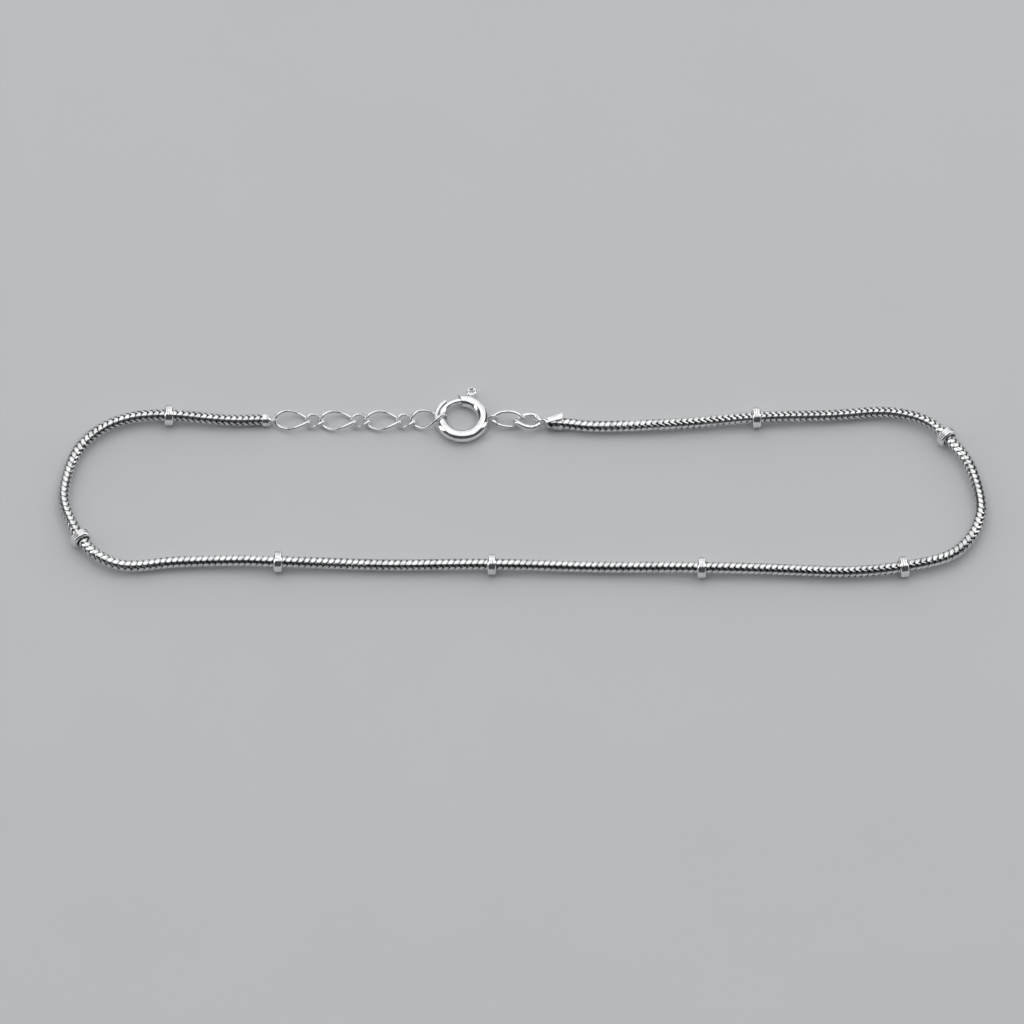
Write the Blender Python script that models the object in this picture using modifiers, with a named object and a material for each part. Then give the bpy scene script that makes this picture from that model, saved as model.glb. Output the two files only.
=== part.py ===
"""Snake chain bracelet with eight stopper beads, a twisted link extension and a spring ring clasp.

Metres, +Z up. The closed bracelet lies on the surface z = 0, its clasp at the back (+Y) and its
long axis along X. The origin is the centre of the bounding box, at the bottom.
"""

import math
from collections import namedtuple

import bmesh
import bpy
from mathutils import Matrix, Vector

MM = 0.001
WELD = 0.000001

# Snake chain
CHAIN_DIAMETER = 1.20 * MM
CHAIN_SAG = 0.16 * MM
CHAIN_POINT_SPACING = 3.0 * MM
CHAIN_TUBE_RESOLUTION = 3

# Stopper beads
BEAD_DIAMETER = 2.30 * MM
BEAD_LENGTH = 0.95 * MM
BEAD_BORE_CLEARANCE = 0.05 * MM
BEAD_GROOVE_DEPTH = 0.10 * MM
BEAD_GROOVE_WIDTH = 0.20 * MM
BEAD_EDGE = 0.16 * MM
BEAD_SIDES = 16
BEAD_STRAIGHT = 2.0 * MM

# Line of the extension links, the clasp and the jump links
LINE_Y = 8.84 * MM
LINE_HEIGHT = 0.62 * MM
LINK_CLEARANCE = 0.06 * MM
LINK_POINTS = 16
WIRE_RESOLUTION = 1

# Extension links
EXTENSION_START_X = -25.70 * MM
EXTENSION_WIRE = 0.36 * MM
LONG_LINK_LENGTH = 4.06 * MM
LONG_LINK_WIDTH = 2.45 * MM
SHORT_LINK_LENGTH = 2.24 * MM
SHORT_LINK_WIDTH = 1.78 * MM
CURB_TWIST = 45.0
LAST_LINK_RISE = 0.38 * MM
LAST_LINK_SLANT = 0.33 * MM
LAST_LINK_MIDDLE_ROLL = -12.6
LAST_LINK_END_ROLL = -96.0

# Spring ring clasp
RING_RADIUS = 2.20 * MM
RING_TUBE_DIAMETER = 1.25 * MM
RING_TUBE_WALL = 0.225 * MM
RING_HEIGHT = 0.82 * MM
RING_MOUTH_ANGLE = 98.0
RING_RECEIVER_ANGLE = 190.0
RING_LINK_ANGLE = 175.0
RING_STEP_ANGLE = 12.0
GATE_DIAMETER = 0.62 * MM
GATE_TAIL_ANGLE = 60.0
GATE_TIP_ANGLE = 196.0
SLOT_START_ANGLE = 17.0
SLOT_END_ANGLE = 79.0
SLOT_CLEARANCE = 0.06 * MM
POST_ANGLE = 73.0
POST_DIAMETER = 0.32 * MM
BUTTON_DISTANCE = 3.43 * MM
BUTTON_DIAMETER = 1.08 * MM
BUTTON_THICKNESS = 0.52 * MM
BUTTON_EDGE = 0.10 * MM
BUTTON_DIMPLE_DIAMETER = 0.62 * MM
BUTTON_DIMPLE_DEPTH = 0.10 * MM
BUTTON_TAB_HALF_ANGLE = 7.5
BUTTON_TAB_THICKNESS = 0.30 * MM
BUTTON_TAB_CLEARANCE = 0.08 * MM
TONGUE_TIP_ANGLE = 129.0
TONGUE_ROOT_ANGLE = 204.0
TONGUE_THICKNESS = 0.31 * MM
TONGUE_STAND = 0.04 * MM
TONGUE_HEIGHT = 0.44 * MM
EYE_WIRE = 0.30 * MM
EYE_RADIUS = 0.44 * MM

# Jump links between the clasp and the crimp end
CLASP_LINK_LENGTH = 3.56 * MM
CLASP_LINK_WIDTH = 2.00 * MM
CLASP_LINK_WIRE = 0.40 * MM
CLASP_LINK_RISE = 0.02 * MM
CLASP_LINK_ROLLS = (0.0, 30.0, 56.0)
CRIMP_LINK_LENGTH = 3.16 * MM
CRIMP_LINK_WIDTH = 2.45 * MM
CRIMP_LINK_WIRE = 0.54 * MM
CRIMP_LINK_OVERLAP = 0.90 * MM
CRIMP_LINK_ROLLS = (-42.0, -16.0, 0.0)

# Folded crimp end
CRIMP_EYE_DROP = 0.33 * MM
CRIMP_HEIGHT = 0.90 * MM
CRIMP_TURN = -5.0
CRIMP_BORE_CLEARANCE = 0.12 * MM
CRIMP_WALL = 0.16 * MM
CRIMP_NOSE_LENGTH = 0.95 * MM
CRIMP_SLEEVE_LENGTH = 1.40 * MM
CRIMP_EYE_CLEARANCE = 0.12 * MM
CRIMP_EYE_RIM = 0.15 * MM
CRIMP_PLATE_THICKNESS = 0.30 * MM

# Turned end cap
CAP_HEIGHT = 0.80 * MM
CAP_WALL = 0.09 * MM
CAP_BORE_CLEARANCE = 0.04 * MM
CAP_CUP_LENGTH = 0.58 * MM
CAP_NOSE_LENGTH = 0.62 * MM
CAP_EYE_CLEARANCE = 0.14 * MM
CAP_EYE_RIM = 0.11 * MM
CAP_PLATE_THICKNESS = 0.20 * MM

# Depth of the cup or sleeve floor behind the chain's end, and the straight run outside the mouth
CHAIN_END_CLEARANCE = 0.10 * MM
CHAIN_LEAD = 0.50 * MM

RouteStop = namedtuple("RouteStop", "x y bead")

# The chain's way over the surface in millimetres, from the end cap round to the crimp end.
CHAIN_ROUTE = (
    RouteStop(-30.3, 8.74, False),
    RouteStop(-33.4, 8.92, False),
    RouteStop(-36.74, 9.23, True),
    RouteStop(-40.7, 8.92, False),
    RouteStop(-43.8, 7.56, False),
    RouteStop(-46.15, 4.96, False),
    RouteStop(-47.4, 0.87, False),
    RouteStop(-47.35, -2.23, False),
    RouteStop(-45.7, -6.07, True),
    RouteStop(-43.6, -8.37, False),
    RouteStop(-40.7, -9.42, False),
    RouteStop(-35.7, -8.92, False),
    RouteStop(-29.3, -8.80, False),
    RouteStop(-25.2, -8.98, True),
    RouteStop(-14.0, -9.27, False),
    RouteStop(-3.07, -9.30, True),
    RouteStop(8.2, -9.54, False),
    RouteStop(18.66, -9.70, True),
    RouteStop(27.0, -9.88, False),
    RouteStop(34.1, -10.16, False),
    RouteStop(39.55, -9.60, True),
    RouteStop(44.0, -8.37, False),
    RouteStop(46.2, -6.44, False),
    RouteStop(47.4, -3.97, False),
    RouteStop(47.65, -1.24, False),
    RouteStop(46.5, 3.22, False),
    RouteStop(44.3, 6.51, True),
    RouteStop(42.5, 8.24, False),
    RouteStop(40.4, 9.20, False),
    RouteStop(37.2, 9.68, False),
    RouteStop(32.0, 9.25, False),
    RouteStop(24.5, 8.92, True),
    RouteStop(16.5, 8.18, False),
    RouteStop(8.2, 7.93, False),
)

NoseSection = namedtuple("NoseSection", "along half_thickness half_height")

# Sections of a pinched nose: the way along it, and how far each half size has grown from the
# flat plate (0) to the round mouth of the cup or sleeve (1).
NOSE_SECTIONS = (
    NoseSection(0.00, 0.0, 0.0),
    NoseSection(0.35, 0.1, 0.1),
    NoseSection(0.70, 0.6, 0.6),
    NoseSection(1.00, 1.0, 1.0),
)

FoldRow = namedtuple("FoldRow", "throat_y throat_z mouth_y mouth_z")

# The folded sheet's section in bore radii, at the throat and at the mouth, from the tip of the
# top flap, which stands off the chain at the mouth, back and down round the chain and up to the
# tip of the front flap.
FOLD_ROWS = (
    FoldRow(-0.50, 0.90, -0.10, 1.48),
    FoldRow(0.15, 1.02, 0.45, 1.56),
    FoldRow(0.72, 0.76, 1.02, 1.48),
    FoldRow(0.94, 0.38, 1.16, 0.78),
    FoldRow(1.00, 0.00, 1.05, 0.00),
    FoldRow(0.72, -0.72, 0.74, -0.74),
    FoldRow(0.00, -1.00, 0.00, -1.00),
    FoldRow(-0.72, -0.72, -0.74, -0.74),
    FoldRow(-1.00, 0.00, -1.02, 0.00),
    FoldRow(-0.92, 0.44, -1.00, 0.52),
)

Finish = namedtuple("Finish", "name color roughness")

CHAIN_SILVER = Finish("chain_silver", (0.80, 0.80, 0.81, 1.0), 0.24)
BEAD_SILVER = Finish("bead_silver", (0.84, 0.84, 0.85, 1.0), 0.16)
LINK_SILVER = Finish("link_silver", (0.82, 0.83, 0.84, 1.0), 0.20)
CLASP_SILVER = Finish("clasp_silver", (0.83, 0.83, 0.85, 1.0), 0.18)


def clear_scene():
    """Remove every object of the scene."""
    for old in list(bpy.data.objects):
        bpy.data.objects.remove(old, do_unlink=True)


def make_collection(name):
    """Return a new collection under the scene's own."""
    group = bpy.data.collections.new(name)
    bpy.context.scene.collection.children.link(group)
    return group


def make_material(owner, finish):
    """Give an object a silver Principled material of its own."""
    material = bpy.data.materials.new(owner + "_" + finish.name)
    material.use_nodes = True
    shader = material.node_tree.nodes["Principled BSDF"]
    shader.inputs["Base Color"].default_value = finish.color
    shader.inputs["Metallic"].default_value = 1.0
    shader.inputs["Roughness"].default_value = finish.roughness
    material.diffuse_color = finish.color
    return material


def add_object(name, data, group):
    """Wrap mesh or curve data in an object of the given collection."""
    thing = bpy.data.objects.new(name, data)
    group.objects.link(thing)
    return thing


def finish_piece(thing, finish, parent):
    """Give a piece its material, smooth shading and parent."""
    thing.data.materials.append(make_material(thing.name, finish))
    if thing.type == "MESH":
        thing.data.shade_smooth()
        thing.data.set_sharp_from_angle(angle=math.radians(35.0))
    thing.parent = parent


def hide_helper(thing, parent):
    """Keep a cutter or an inset out of the model and show it as wire."""
    thing.hide_render = True
    thing.display_type = "WIRE"
    thing.parent = parent


def add_boolean(target, tool, operation):
    """Cut, or join, a helper into a piece."""
    modifier = target.modifiers.new(operation.lower() + "_" + tool.name, "BOOLEAN")
    modifier.operation = operation
    modifier.solver = "EXACT"
    modifier.object = tool


def wire_curve(name, points, diameter, resolution, group, cyclic=False):
    """Return a round wire as a poly curve through the points."""
    curve = bpy.data.curves.new(name, "CURVE")
    curve.dimensions = "3D"
    curve.bevel_depth = diameter / 2
    curve.bevel_resolution = resolution
    curve.use_fill_caps = True
    spline = curve.splines.new("POLY")
    spline.points.add(len(points) - 1)
    for slot, point in zip(spline.points, points):
        slot.co = (point[0], point[1], point[2], 1.0)
    spline.use_cyclic_u = cyclic
    spline.use_smooth = True
    return add_object(name, curve, group)


def flat_outline(name, outline, thickness, group):
    """Return a flat plate of the given outline in the XY plane, centred on z = 0."""
    curve = bpy.data.curves.new(name, "CURVE")
    curve.dimensions = "2D"
    curve.fill_mode = "BOTH"
    curve.extrude = thickness / 2
    spline = curve.splines.new("POLY")
    spline.points.add(len(outline) - 1)
    for slot, point in zip(spline.points, outline):
        slot.co = (point[0], point[1], 0.0, 1.0)
    spline.use_cyclic_u = True
    return add_object(name, curve, group)


def to_mesh(curved, group):
    """Turn a curve object into a welded mesh object of the same name and place."""
    name = curved.name
    depsgraph = bpy.context.evaluated_depsgraph_get()
    mesh = bpy.data.meshes.new_from_object(curved.evaluated_get(depsgraph))
    place = curved.matrix_world.copy()
    bpy.data.objects.remove(curved, do_unlink=True)
    shell = bmesh.new()
    shell.from_mesh(mesh)
    bmesh.ops.remove_doubles(shell, verts=shell.verts, dist=WELD)
    bmesh.ops.recalc_face_normals(shell, faces=shell.faces)
    shell.to_mesh(mesh)
    shell.free()
    thing = add_object(name, mesh, group)
    thing.matrix_world = place
    return thing


def turned(name, profile, sides, group):
    """Return a profile of (radius, height) rows turned about Z by a Screw modifier.

    The rows run down the outer side; a profile that leaves the axis is closed up its bore.
    """
    shell = bmesh.new()
    verts = [shell.verts.new((radius, 0.0, height)) for radius, height in profile]
    for first, second in zip(verts, verts[1:]):
        shell.edges.new((first, second))
    if profile[0][0] > 0.0:
        shell.edges.new((verts[-1], verts[0]))
    mesh = bpy.data.meshes.new(name)
    shell.to_mesh(mesh)
    shell.free()
    thing = add_object(name, mesh, group)
    screw = thing.modifiers.new("turn", "SCREW")
    screw.axis = "Z"
    screw.angle = math.tau
    screw.steps = sides
    screw.render_steps = sides
    screw.use_merge_vertices = True
    screw.merge_threshold = WELD
    screw.use_smooth_shade = True
    return thing


def loft(name, rings, group):
    """Return a closed solid skinned over rings of equal point counts."""
    shell = bmesh.new()
    loops = [[shell.verts.new(point) for point in ring] for ring in rings]
    count = len(loops[0])
    for low, high in zip(loops, loops[1:]):
        for index in range(count):
            after = (index + 1) % count
            shell.faces.new((low[index], low[after], high[after], high[index]))
    shell.faces.new(list(reversed(loops[0])))
    shell.faces.new(loops[-1])
    bmesh.ops.recalc_face_normals(shell, faces=shell.faces)
    mesh = bpy.data.meshes.new(name)
    shell.to_mesh(mesh)
    shell.free()
    return add_object(name, mesh, group)


def arc_points(radius, start, stop):
    """Return points on an arc about Z between two angles in degrees."""
    count = math.ceil(abs(stop - start) / RING_STEP_ANGLE)
    points = []
    for index in range(count + 1):
        angle = math.radians(start + (stop - start) * index / count)
        points.append(Vector((radius * math.cos(angle), radius * math.sin(angle), 0.0)))
    return points


def sector_outline(inner, outer, start, stop):
    """Return the outline of a ring sector."""
    return arc_points(outer, start, stop) + list(reversed(arc_points(inner, start, stop)))


def polar(radius, angle):
    """Return a point at an angle in degrees."""
    return Vector((radius * math.cos(math.radians(angle)), radius * math.sin(math.radians(angle)), 0.0))


def smooth_curve(points, steps=24):
    """Return dense points on a Catmull-Rom curve through the given ones."""
    dense = []
    for index in range(len(points) - 1):
        second = points[index]
        third = points[index + 1]
        first = points[index - 1] if index else second * 2 - third
        fourth = points[index + 2] if index + 2 < len(points) else third * 2 - second
        for step in range(steps):
            share = step / steps
            dense.append(
                0.5
                * (
                    second * 2
                    + (third - first) * share
                    + (first * 2 - second * 5 + third * 4 - fourth) * share**2
                    + (second * 3 - first - third * 3 + fourth) * share**3
                )
            )
    dense.append(points[-1])
    return dense


class Path:
    """A dense polyline that is read by its length."""

    def __init__(self, points):
        """Measure the way along the points."""
        self.points = points
        self.marks = [0.0]
        for first, second in zip(points, points[1:]):
            self.marks.append(self.marks[-1] + (second - first).length)

    def length(self):
        """Return the whole length."""
        return self.marks[-1]

    def at(self, distance):
        """Return the point at a distance along the path."""
        for index in range(len(self.marks) - 1):
            if distance <= self.marks[index + 1]:
                span = self.marks[index + 1] - self.marks[index]
                share = (distance - self.marks[index]) / span
                return self.points[index].lerp(self.points[index + 1], share)
        return self.points[-1].copy()

    def nearest(self, target):
        """Return the distance along the path of the dense point nearest a target."""
        gaps = [(point - target).length for point in self.points]
        return self.marks[gaps.index(min(gaps))]


def bead_height():
    """Return the height of a bead's centre when one of its flats lies on the surface."""
    return BEAD_DIAMETER / 2 * math.cos(math.pi / BEAD_SIDES)


def cap_eye_radius():
    """Return the hole radius of the end cap's eye."""
    return EXTENSION_WIRE / 2 + CAP_EYE_CLEARANCE


def crimp_eye_radius():
    """Return the hole radius of the crimp's eye."""
    return CRIMP_LINK_WIRE / 2 + CRIMP_EYE_CLEARANCE


def crimp_direction():
    """Return the crimp's axis, pointing from its eye to its mouth."""
    return polar(1.0, CRIMP_TURN)


def cap_eye():
    """Return the centre of the end cap's eye."""
    return Vector((EXTENSION_START_X - CAP_EYE_CLEARANCE / 2, LINE_Y, CAP_HEIGHT))


def crimp_eye():
    """Return the centre of the crimp's eye, where the line of links ends."""
    eye_x = crimp_link_start().x + CRIMP_LINK_LENGTH - CRIMP_LINK_WIRE
    return Vector((eye_x, LINE_Y - CRIMP_EYE_DROP, CRIMP_HEIGHT))


def extension_rows():
    """Return the extension's links in turn as rows of name, length and width."""
    rows = []
    for pair in range(3):
        rows.append(("long_link_" + str(pair + 1), LONG_LINK_LENGTH, LONG_LINK_WIDTH))
        rows.append(("short_link_" + str(pair + 1), SHORT_LINK_LENGTH, SHORT_LINK_WIDTH))
    rows.append(("long_link_4", LONG_LINK_LENGTH, LONG_LINK_WIDTH))
    return rows


def extension_ends():
    """Return the two end points of each extension link, its wire's centres."""
    rows = extension_rows()
    last = len(rows) - 1
    left = EXTENSION_START_X
    ends = []
    for number, (_, length, _) in enumerate(rows):
        right = left + length - EXTENSION_WIRE
        start = Vector((left, LINE_Y, LINE_HEIGHT))
        end = Vector((right, LINE_Y, LINE_HEIGHT))
        if number == 0:
            start.z = CAP_HEIGHT
        if number == last:
            end.y = LINE_Y + LAST_LINK_SLANT
            end.z = LINE_HEIGHT + LAST_LINK_RISE
        ends.append((start, end))
        left = right - EXTENSION_WIRE - LINK_CLEARANCE
    return ends


def ring_centre():
    """Return the spring ring's centre, where the last extension link holds its gate."""
    link_end = extension_ends()[-1][1]
    reach = GATE_DIAMETER / 2 + EXTENSION_WIRE / 2 + LINK_CLEARANCE * 2
    gate_offset = polar(RING_RADIUS, RING_LINK_ANGLE)
    return Vector((link_end.x - reach - gate_offset.x, link_end.y - gate_offset.y, RING_HEIGHT))


def eye_distance():
    """Return how far the eye's centre lies from the ring's, its wire sunk into the tube's wall."""
    return RING_RADIUS + RING_TUBE_DIAMETER / 2 - RING_TUBE_WALL + EYE_WIRE / 2 + EYE_RADIUS


def clasp_link_ends():
    """Return the clasp link's two end points, the first inside the clasp's eye."""
    centre = ring_centre()
    start_x = centre.x + eye_distance() + LINK_CLEARANCE / 2
    end_x = start_x + CLASP_LINK_LENGTH - CLASP_LINK_WIRE
    start = Vector((start_x, centre.y, RING_HEIGHT))
    end = Vector((end_x, LINE_Y - CRIMP_EYE_DROP / 3, CRIMP_HEIGHT + CLASP_LINK_RISE))
    return start, end


def crimp_link_start():
    """Return the crimp link's first end point, hooked inside the clasp link."""
    hold = clasp_link_ends()[1]
    return Vector((hold.x - CRIMP_LINK_OVERLAP, hold.y, CRIMP_HEIGHT))


def chain_stations():
    """Return the chain's points and the beads' centres and directions along it."""
    left = Vector((-1.0, 0.0, 0.0))
    right = crimp_direction()
    cap_floor = cap_eye() + left * CAP_NOSE_LENGTH
    crimp_floor = crimp_eye() + right * CRIMP_NOSE_LENGTH
    start = cap_floor + left * (CAP_CUP_LENGTH + CHAIN_LEAD)
    finish = crimp_floor + right * (CRIMP_SLEEVE_LENGTH + CHAIN_LEAD)
    stops = [Vector((stop.x * MM, stop.y * MM, 0.0)) for stop in CHAIN_ROUTE]
    ends = [Vector((start.x, start.y, 0.0)), Vector((finish.x, finish.y, 0.0))]
    path = Path(smooth_curve([ends[0]] + stops + [ends[1]]))
    centres = [path.nearest(stop) for stop, row in zip(stops, CHAIN_ROUTE) if row.bead]
    knots = [(0.0, start.z)]
    for centre in centres:
        knots.append((centre - BEAD_STRAIGHT / 2, bead_height()))
        knots.append((centre + BEAD_STRAIGHT / 2, bead_height()))
    knots.append((path.length(), finish.z))
    points = [cap_floor + left * CHAIN_END_CLEARANCE]
    for index in range(0, len(knots), 2):
        near, far = knots[index], knots[index + 1]
        count = math.ceil((far[0] - near[0]) / CHAIN_POINT_SPACING)
        between_beads = 0 < index < len(knots) - 2
        for step in range(count + 1):
            share = step / count
            ease = share * share * (3.0 - 2.0 * share)
            point = path.at(near[0] + (far[0] - near[0]) * share)
            point.z = near[1] + (far[1] - near[1]) * ease
            if between_beads:
                point.z -= CHAIN_SAG * math.sin(math.pi * share) ** 2
            points.append(point)
    points.append(crimp_floor + right * CHAIN_END_CLEARANCE)
    beads = []
    for centre in centres:
        before = path.at(centre - BEAD_STRAIGHT / 2)
        after = path.at(centre + BEAD_STRAIGHT / 2)
        middle = (before + after) / 2
        middle.z = bead_height()
        beads.append((middle, (after - before).normalized()))
    return points, beads


def frame_matrix(origin, along, up):
    """Return a frame whose X runs along and whose Z is as near as can be to up."""
    side = up.cross(along).normalized()
    top = along.cross(side).normalized()
    turn = Matrix((along.normalized(), side, top)).transposed()
    return Matrix.Translation(origin) @ turn.to_4x4()


def build_chain(points, group, root):
    """Make the snake chain as one round tube."""
    chain = wire_curve("snake_chain", points, CHAIN_DIAMETER, CHAIN_TUBE_RESOLUTION, group)
    finish_piece(chain, CHAIN_SILVER, root)


def bead_profile():
    """Return a grooved bead's turned section with its bore."""
    rim = BEAD_DIAMETER / 2
    end = BEAD_LENGTH / 2
    groove = BEAD_GROOVE_WIDTH / 2
    bore = CHAIN_DIAMETER / 2 + BEAD_BORE_CLEARANCE
    upper = [(rim - BEAD_EDGE, end), (rim - BEAD_EDGE / 4, end - BEAD_EDGE / 2)]
    upper += [(rim, end - BEAD_EDGE), (rim, groove)]
    lower = [(radius, -height) for radius, height in reversed(upper)]
    return upper + [(rim - BEAD_GROOVE_DEPTH, 0.0)] + lower + [(bore, -end), (bore, end)]


def build_beads(beads, group, root):
    """Thread the stopper beads on the chain, each with one flat down on the surface."""
    down = Vector((0.0, 0.0, -1.0))
    flat_down = Matrix.Rotation(math.pi / BEAD_SIDES, 4, "Z")
    for number, (centre, direction) in enumerate(beads, start=1):
        bead = turned("bead_" + str(number), bead_profile(), BEAD_SIDES, group)
        turn = Matrix((down, direction.cross(down), direction)).transposed().to_4x4()
        finish_piece(bead, BEAD_SILVER, root)
        bead.matrix_world = Matrix.Translation(centre) @ turn @ flat_down


def build_link(name, start, end, width, wire, rolls, group, root):
    """Make an oval link between two end points, its wire's centres, turned by three rolls.

    The rolls are in degrees about the link's long axis at its start, middle and end.
    """
    along = end - start
    half_length = along.length / 2
    half_width = (width - wire) / 2
    points = []
    for index in range(LINK_POINTS):
        angle = math.tau * index / LINK_POINTS
        share = math.cos(angle)
        bend = (rolls[0] + rolls[2]) / 2 - rolls[1]
        roll = math.radians(rolls[1] + (rolls[2] - rolls[0]) / 2 * share + bend * share * share)
        side = half_width * math.sin(angle)
        points.append((half_length * share, side * math.cos(roll), side * math.sin(roll)))
    link = wire_curve(name, points, wire, WIRE_RESOLUTION, group, cyclic=True)
    finish_piece(link, LINK_SILVER, root)
    link.matrix_world = frame_matrix((start + end) / 2, along, Vector((0.0, 0.0, 1.0)))


def build_extension(group, root):
    """Make the twisted links from the end cap to the clasp."""
    rows = extension_rows()
    last_rolls = (CURB_TWIST, LAST_LINK_MIDDLE_ROLL, LAST_LINK_END_ROLL)
    for number, (row, ends) in enumerate(zip(rows, extension_ends())):
        name, _, width = row
        rolls = (CURB_TWIST, 0.0, -CURB_TWIST) if number < len(rows) - 1 else last_rolls
        build_link(name, ends[0], ends[1], width, EXTENSION_WIRE, rolls, group, root)


def build_clasp_body(group, helpers, hub):
    """Make the hollow C tube with its slot, guard tongue and eye as one soldered solid."""
    last = RING_MOUTH_ANGLE + 360.0
    overshoot = RING_STEP_ANGLE / 2
    bore = RING_TUBE_DIAMETER - 2 * RING_TUBE_WALL
    outer_radius = RING_RADIUS + RING_TUBE_DIAMETER / 2
    tube_arc = arc_points(RING_RADIUS, RING_RECEIVER_ANGLE, last)
    body = to_mesh(wire_curve("clasp_body", tube_arc, RING_TUBE_DIAMETER, 4, group), group)
    tongue_outer = outer_radius + TONGUE_STAND
    tongue_inner = tongue_outer - TONGUE_THICKNESS
    tongue_sector = sector_outline(tongue_inner, tongue_outer, TONGUE_TIP_ANGLE, TONGUE_ROOT_ANGLE)
    tongue = to_mesh(flat_outline("tongue", tongue_sector, TONGUE_HEIGHT, helpers), helpers)
    bpy.ops.mesh.primitive_torus_add(
        major_radius=EYE_RADIUS, minor_radius=EYE_WIRE / 2, major_segments=16, minor_segments=8
    )
    eye = bpy.context.active_object
    eye.name = "eye"
    for owner in list(eye.users_collection):
        owner.objects.unlink(eye)
    helpers.objects.link(eye)
    eye.location = (eye_distance(), 0.0, 0.0)
    eye.rotation_euler = (math.pi / 2, 0.0, 0.0)
    hollow_arc = arc_points(RING_RADIUS, RING_RECEIVER_ANGLE - overshoot, last + overshoot)
    hollow = to_mesh(wire_curve("hollow", hollow_arc, bore, 4, helpers), helpers)
    slot_height = POST_DIAMETER + 2 * SLOT_CLEARANCE
    slot_sector = sector_outline(
        RING_RADIUS, outer_radius + RING_TUBE_WALL, SLOT_START_ANGLE, SLOT_END_ANGLE
    )
    slot = to_mesh(flat_outline("slot", slot_sector, slot_height, helpers), helpers)
    for tool in (tongue, eye, hollow, slot):
        hide_helper(tool, hub)
    add_boolean(body, tongue, "UNION")
    add_boolean(body, eye, "UNION")
    add_boolean(body, hollow, "DIFFERENCE")
    add_boolean(body, slot, "DIFFERENCE")
    finish_piece(body, CLASP_SILVER, hub)


def button_profile():
    """Return the button's turned section, dimpled on top."""
    rim = BUTTON_DIAMETER / 2
    top = BUTTON_THICKNESS / 2
    dimple = BUTTON_DIMPLE_DIAMETER / 2
    return [
        (0.0, top - BUTTON_DIMPLE_DEPTH),
        (dimple * 0.7, top - BUTTON_DIMPLE_DEPTH * 0.7),
        (dimple, top),
        (rim - BUTTON_EDGE, top),
        (rim, top - BUTTON_EDGE),
        (rim, BUTTON_EDGE - top),
        (rim - BUTTON_EDGE, -top),
        (0.0, -top),
    ]


def build_clasp_trigger(group, helpers, hub):
    """Make the sliding gate wire with its post, tab and button as one soldered solid."""
    gate_arc = arc_points(RING_RADIUS, GATE_TAIL_ANGLE, GATE_TIP_ANGLE)
    gate = to_mesh(wire_curve("clasp_trigger", gate_arc, GATE_DIAMETER, 3, group), group)
    button_centre = polar(BUTTON_DISTANCE, POST_ANGLE)
    post_foot = polar(RING_RADIUS, POST_ANGLE)
    post_head = polar(BUTTON_DISTANCE - BUTTON_DIAMETER / 4, POST_ANGLE)
    post_line = [post_foot, post_head]
    post = to_mesh(wire_curve("post", post_line, POST_DIAMETER, 3, helpers), helpers)
    button = turned("button", button_profile(), 16, helpers)
    button.location = button_centre
    tab_sector = sector_outline(
        RING_RADIUS + RING_TUBE_DIAMETER / 2 + BUTTON_TAB_CLEARANCE, BUTTON_DISTANCE,
        POST_ANGLE - BUTTON_TAB_HALF_ANGLE, POST_ANGLE + BUTTON_TAB_HALF_ANGLE,
    )
    tab = to_mesh(flat_outline("tab", tab_sector, BUTTON_TAB_THICKNESS, helpers), helpers)
    for tool in (post, tab, button):
        hide_helper(tool, hub)
        add_boolean(gate, tool, "UNION")
    finish_piece(gate, CLASP_SILVER, hub)


def build_clasp(group, helpers, root):
    """Place the spring ring's two solids about its centre."""
    hub = bpy.data.objects.new("clasp_hub", None)
    hub.empty_display_size = RING_RADIUS
    group.objects.link(hub)
    hub.parent = root
    hub.location = ring_centre()
    build_clasp_body(group, helpers, hub)
    build_clasp_trigger(group, helpers, hub)


def build_jump_links(group, root):
    """Make the two oval links that join the clasp's eye to the crimp's eye."""
    start, end = clasp_link_ends()
    build_link(
        "clasp_link", start, end, CLASP_LINK_WIDTH, CLASP_LINK_WIRE, CLASP_LINK_ROLLS, group, root
    )
    build_link(
        "crimp_link", crimp_link_start(), crimp_eye(), CRIMP_LINK_WIDTH, CRIMP_LINK_WIRE,
        CRIMP_LINK_ROLLS, group, root,
    )


def nose_rings(length, eye_radius, rim, thickness, mouth_radius, sides=12):
    """Return the rings of a pinched nose along X, its eye at the origin."""
    tip = eye_radius + rim
    rings = []
    for share in (-1.0, -0.8, -0.4):
        height = tip * math.sqrt(1.0 - share * share) + rim / 4
        rings.append((share * tip, thickness / 2, height))
    for row in NOSE_SECTIONS:
        half_y = thickness / 2 + (mouth_radius - thickness / 2) * row.half_thickness
        half_z = tip + (mouth_radius - tip) * row.half_height
        rings.append((row.along * length, half_y, half_z))
    shapes = []
    for along, half_y, half_z in rings:
        ring = []
        for index in range(sides):
            angle = math.tau * (index + 0.5) / sides
            ring.append((along, half_y * math.cos(angle), half_z * math.sin(angle)))
        shapes.append(ring)
    return shapes


def eye_cutter(name, radius, depth, helpers):
    """Return a round cutter along Y."""
    points = [Vector((0.0, -depth, 0.0)), Vector((0.0, depth, 0.0))]
    return to_mesh(wire_curve(name, points, radius * 2, 4, helpers), helpers)


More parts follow.
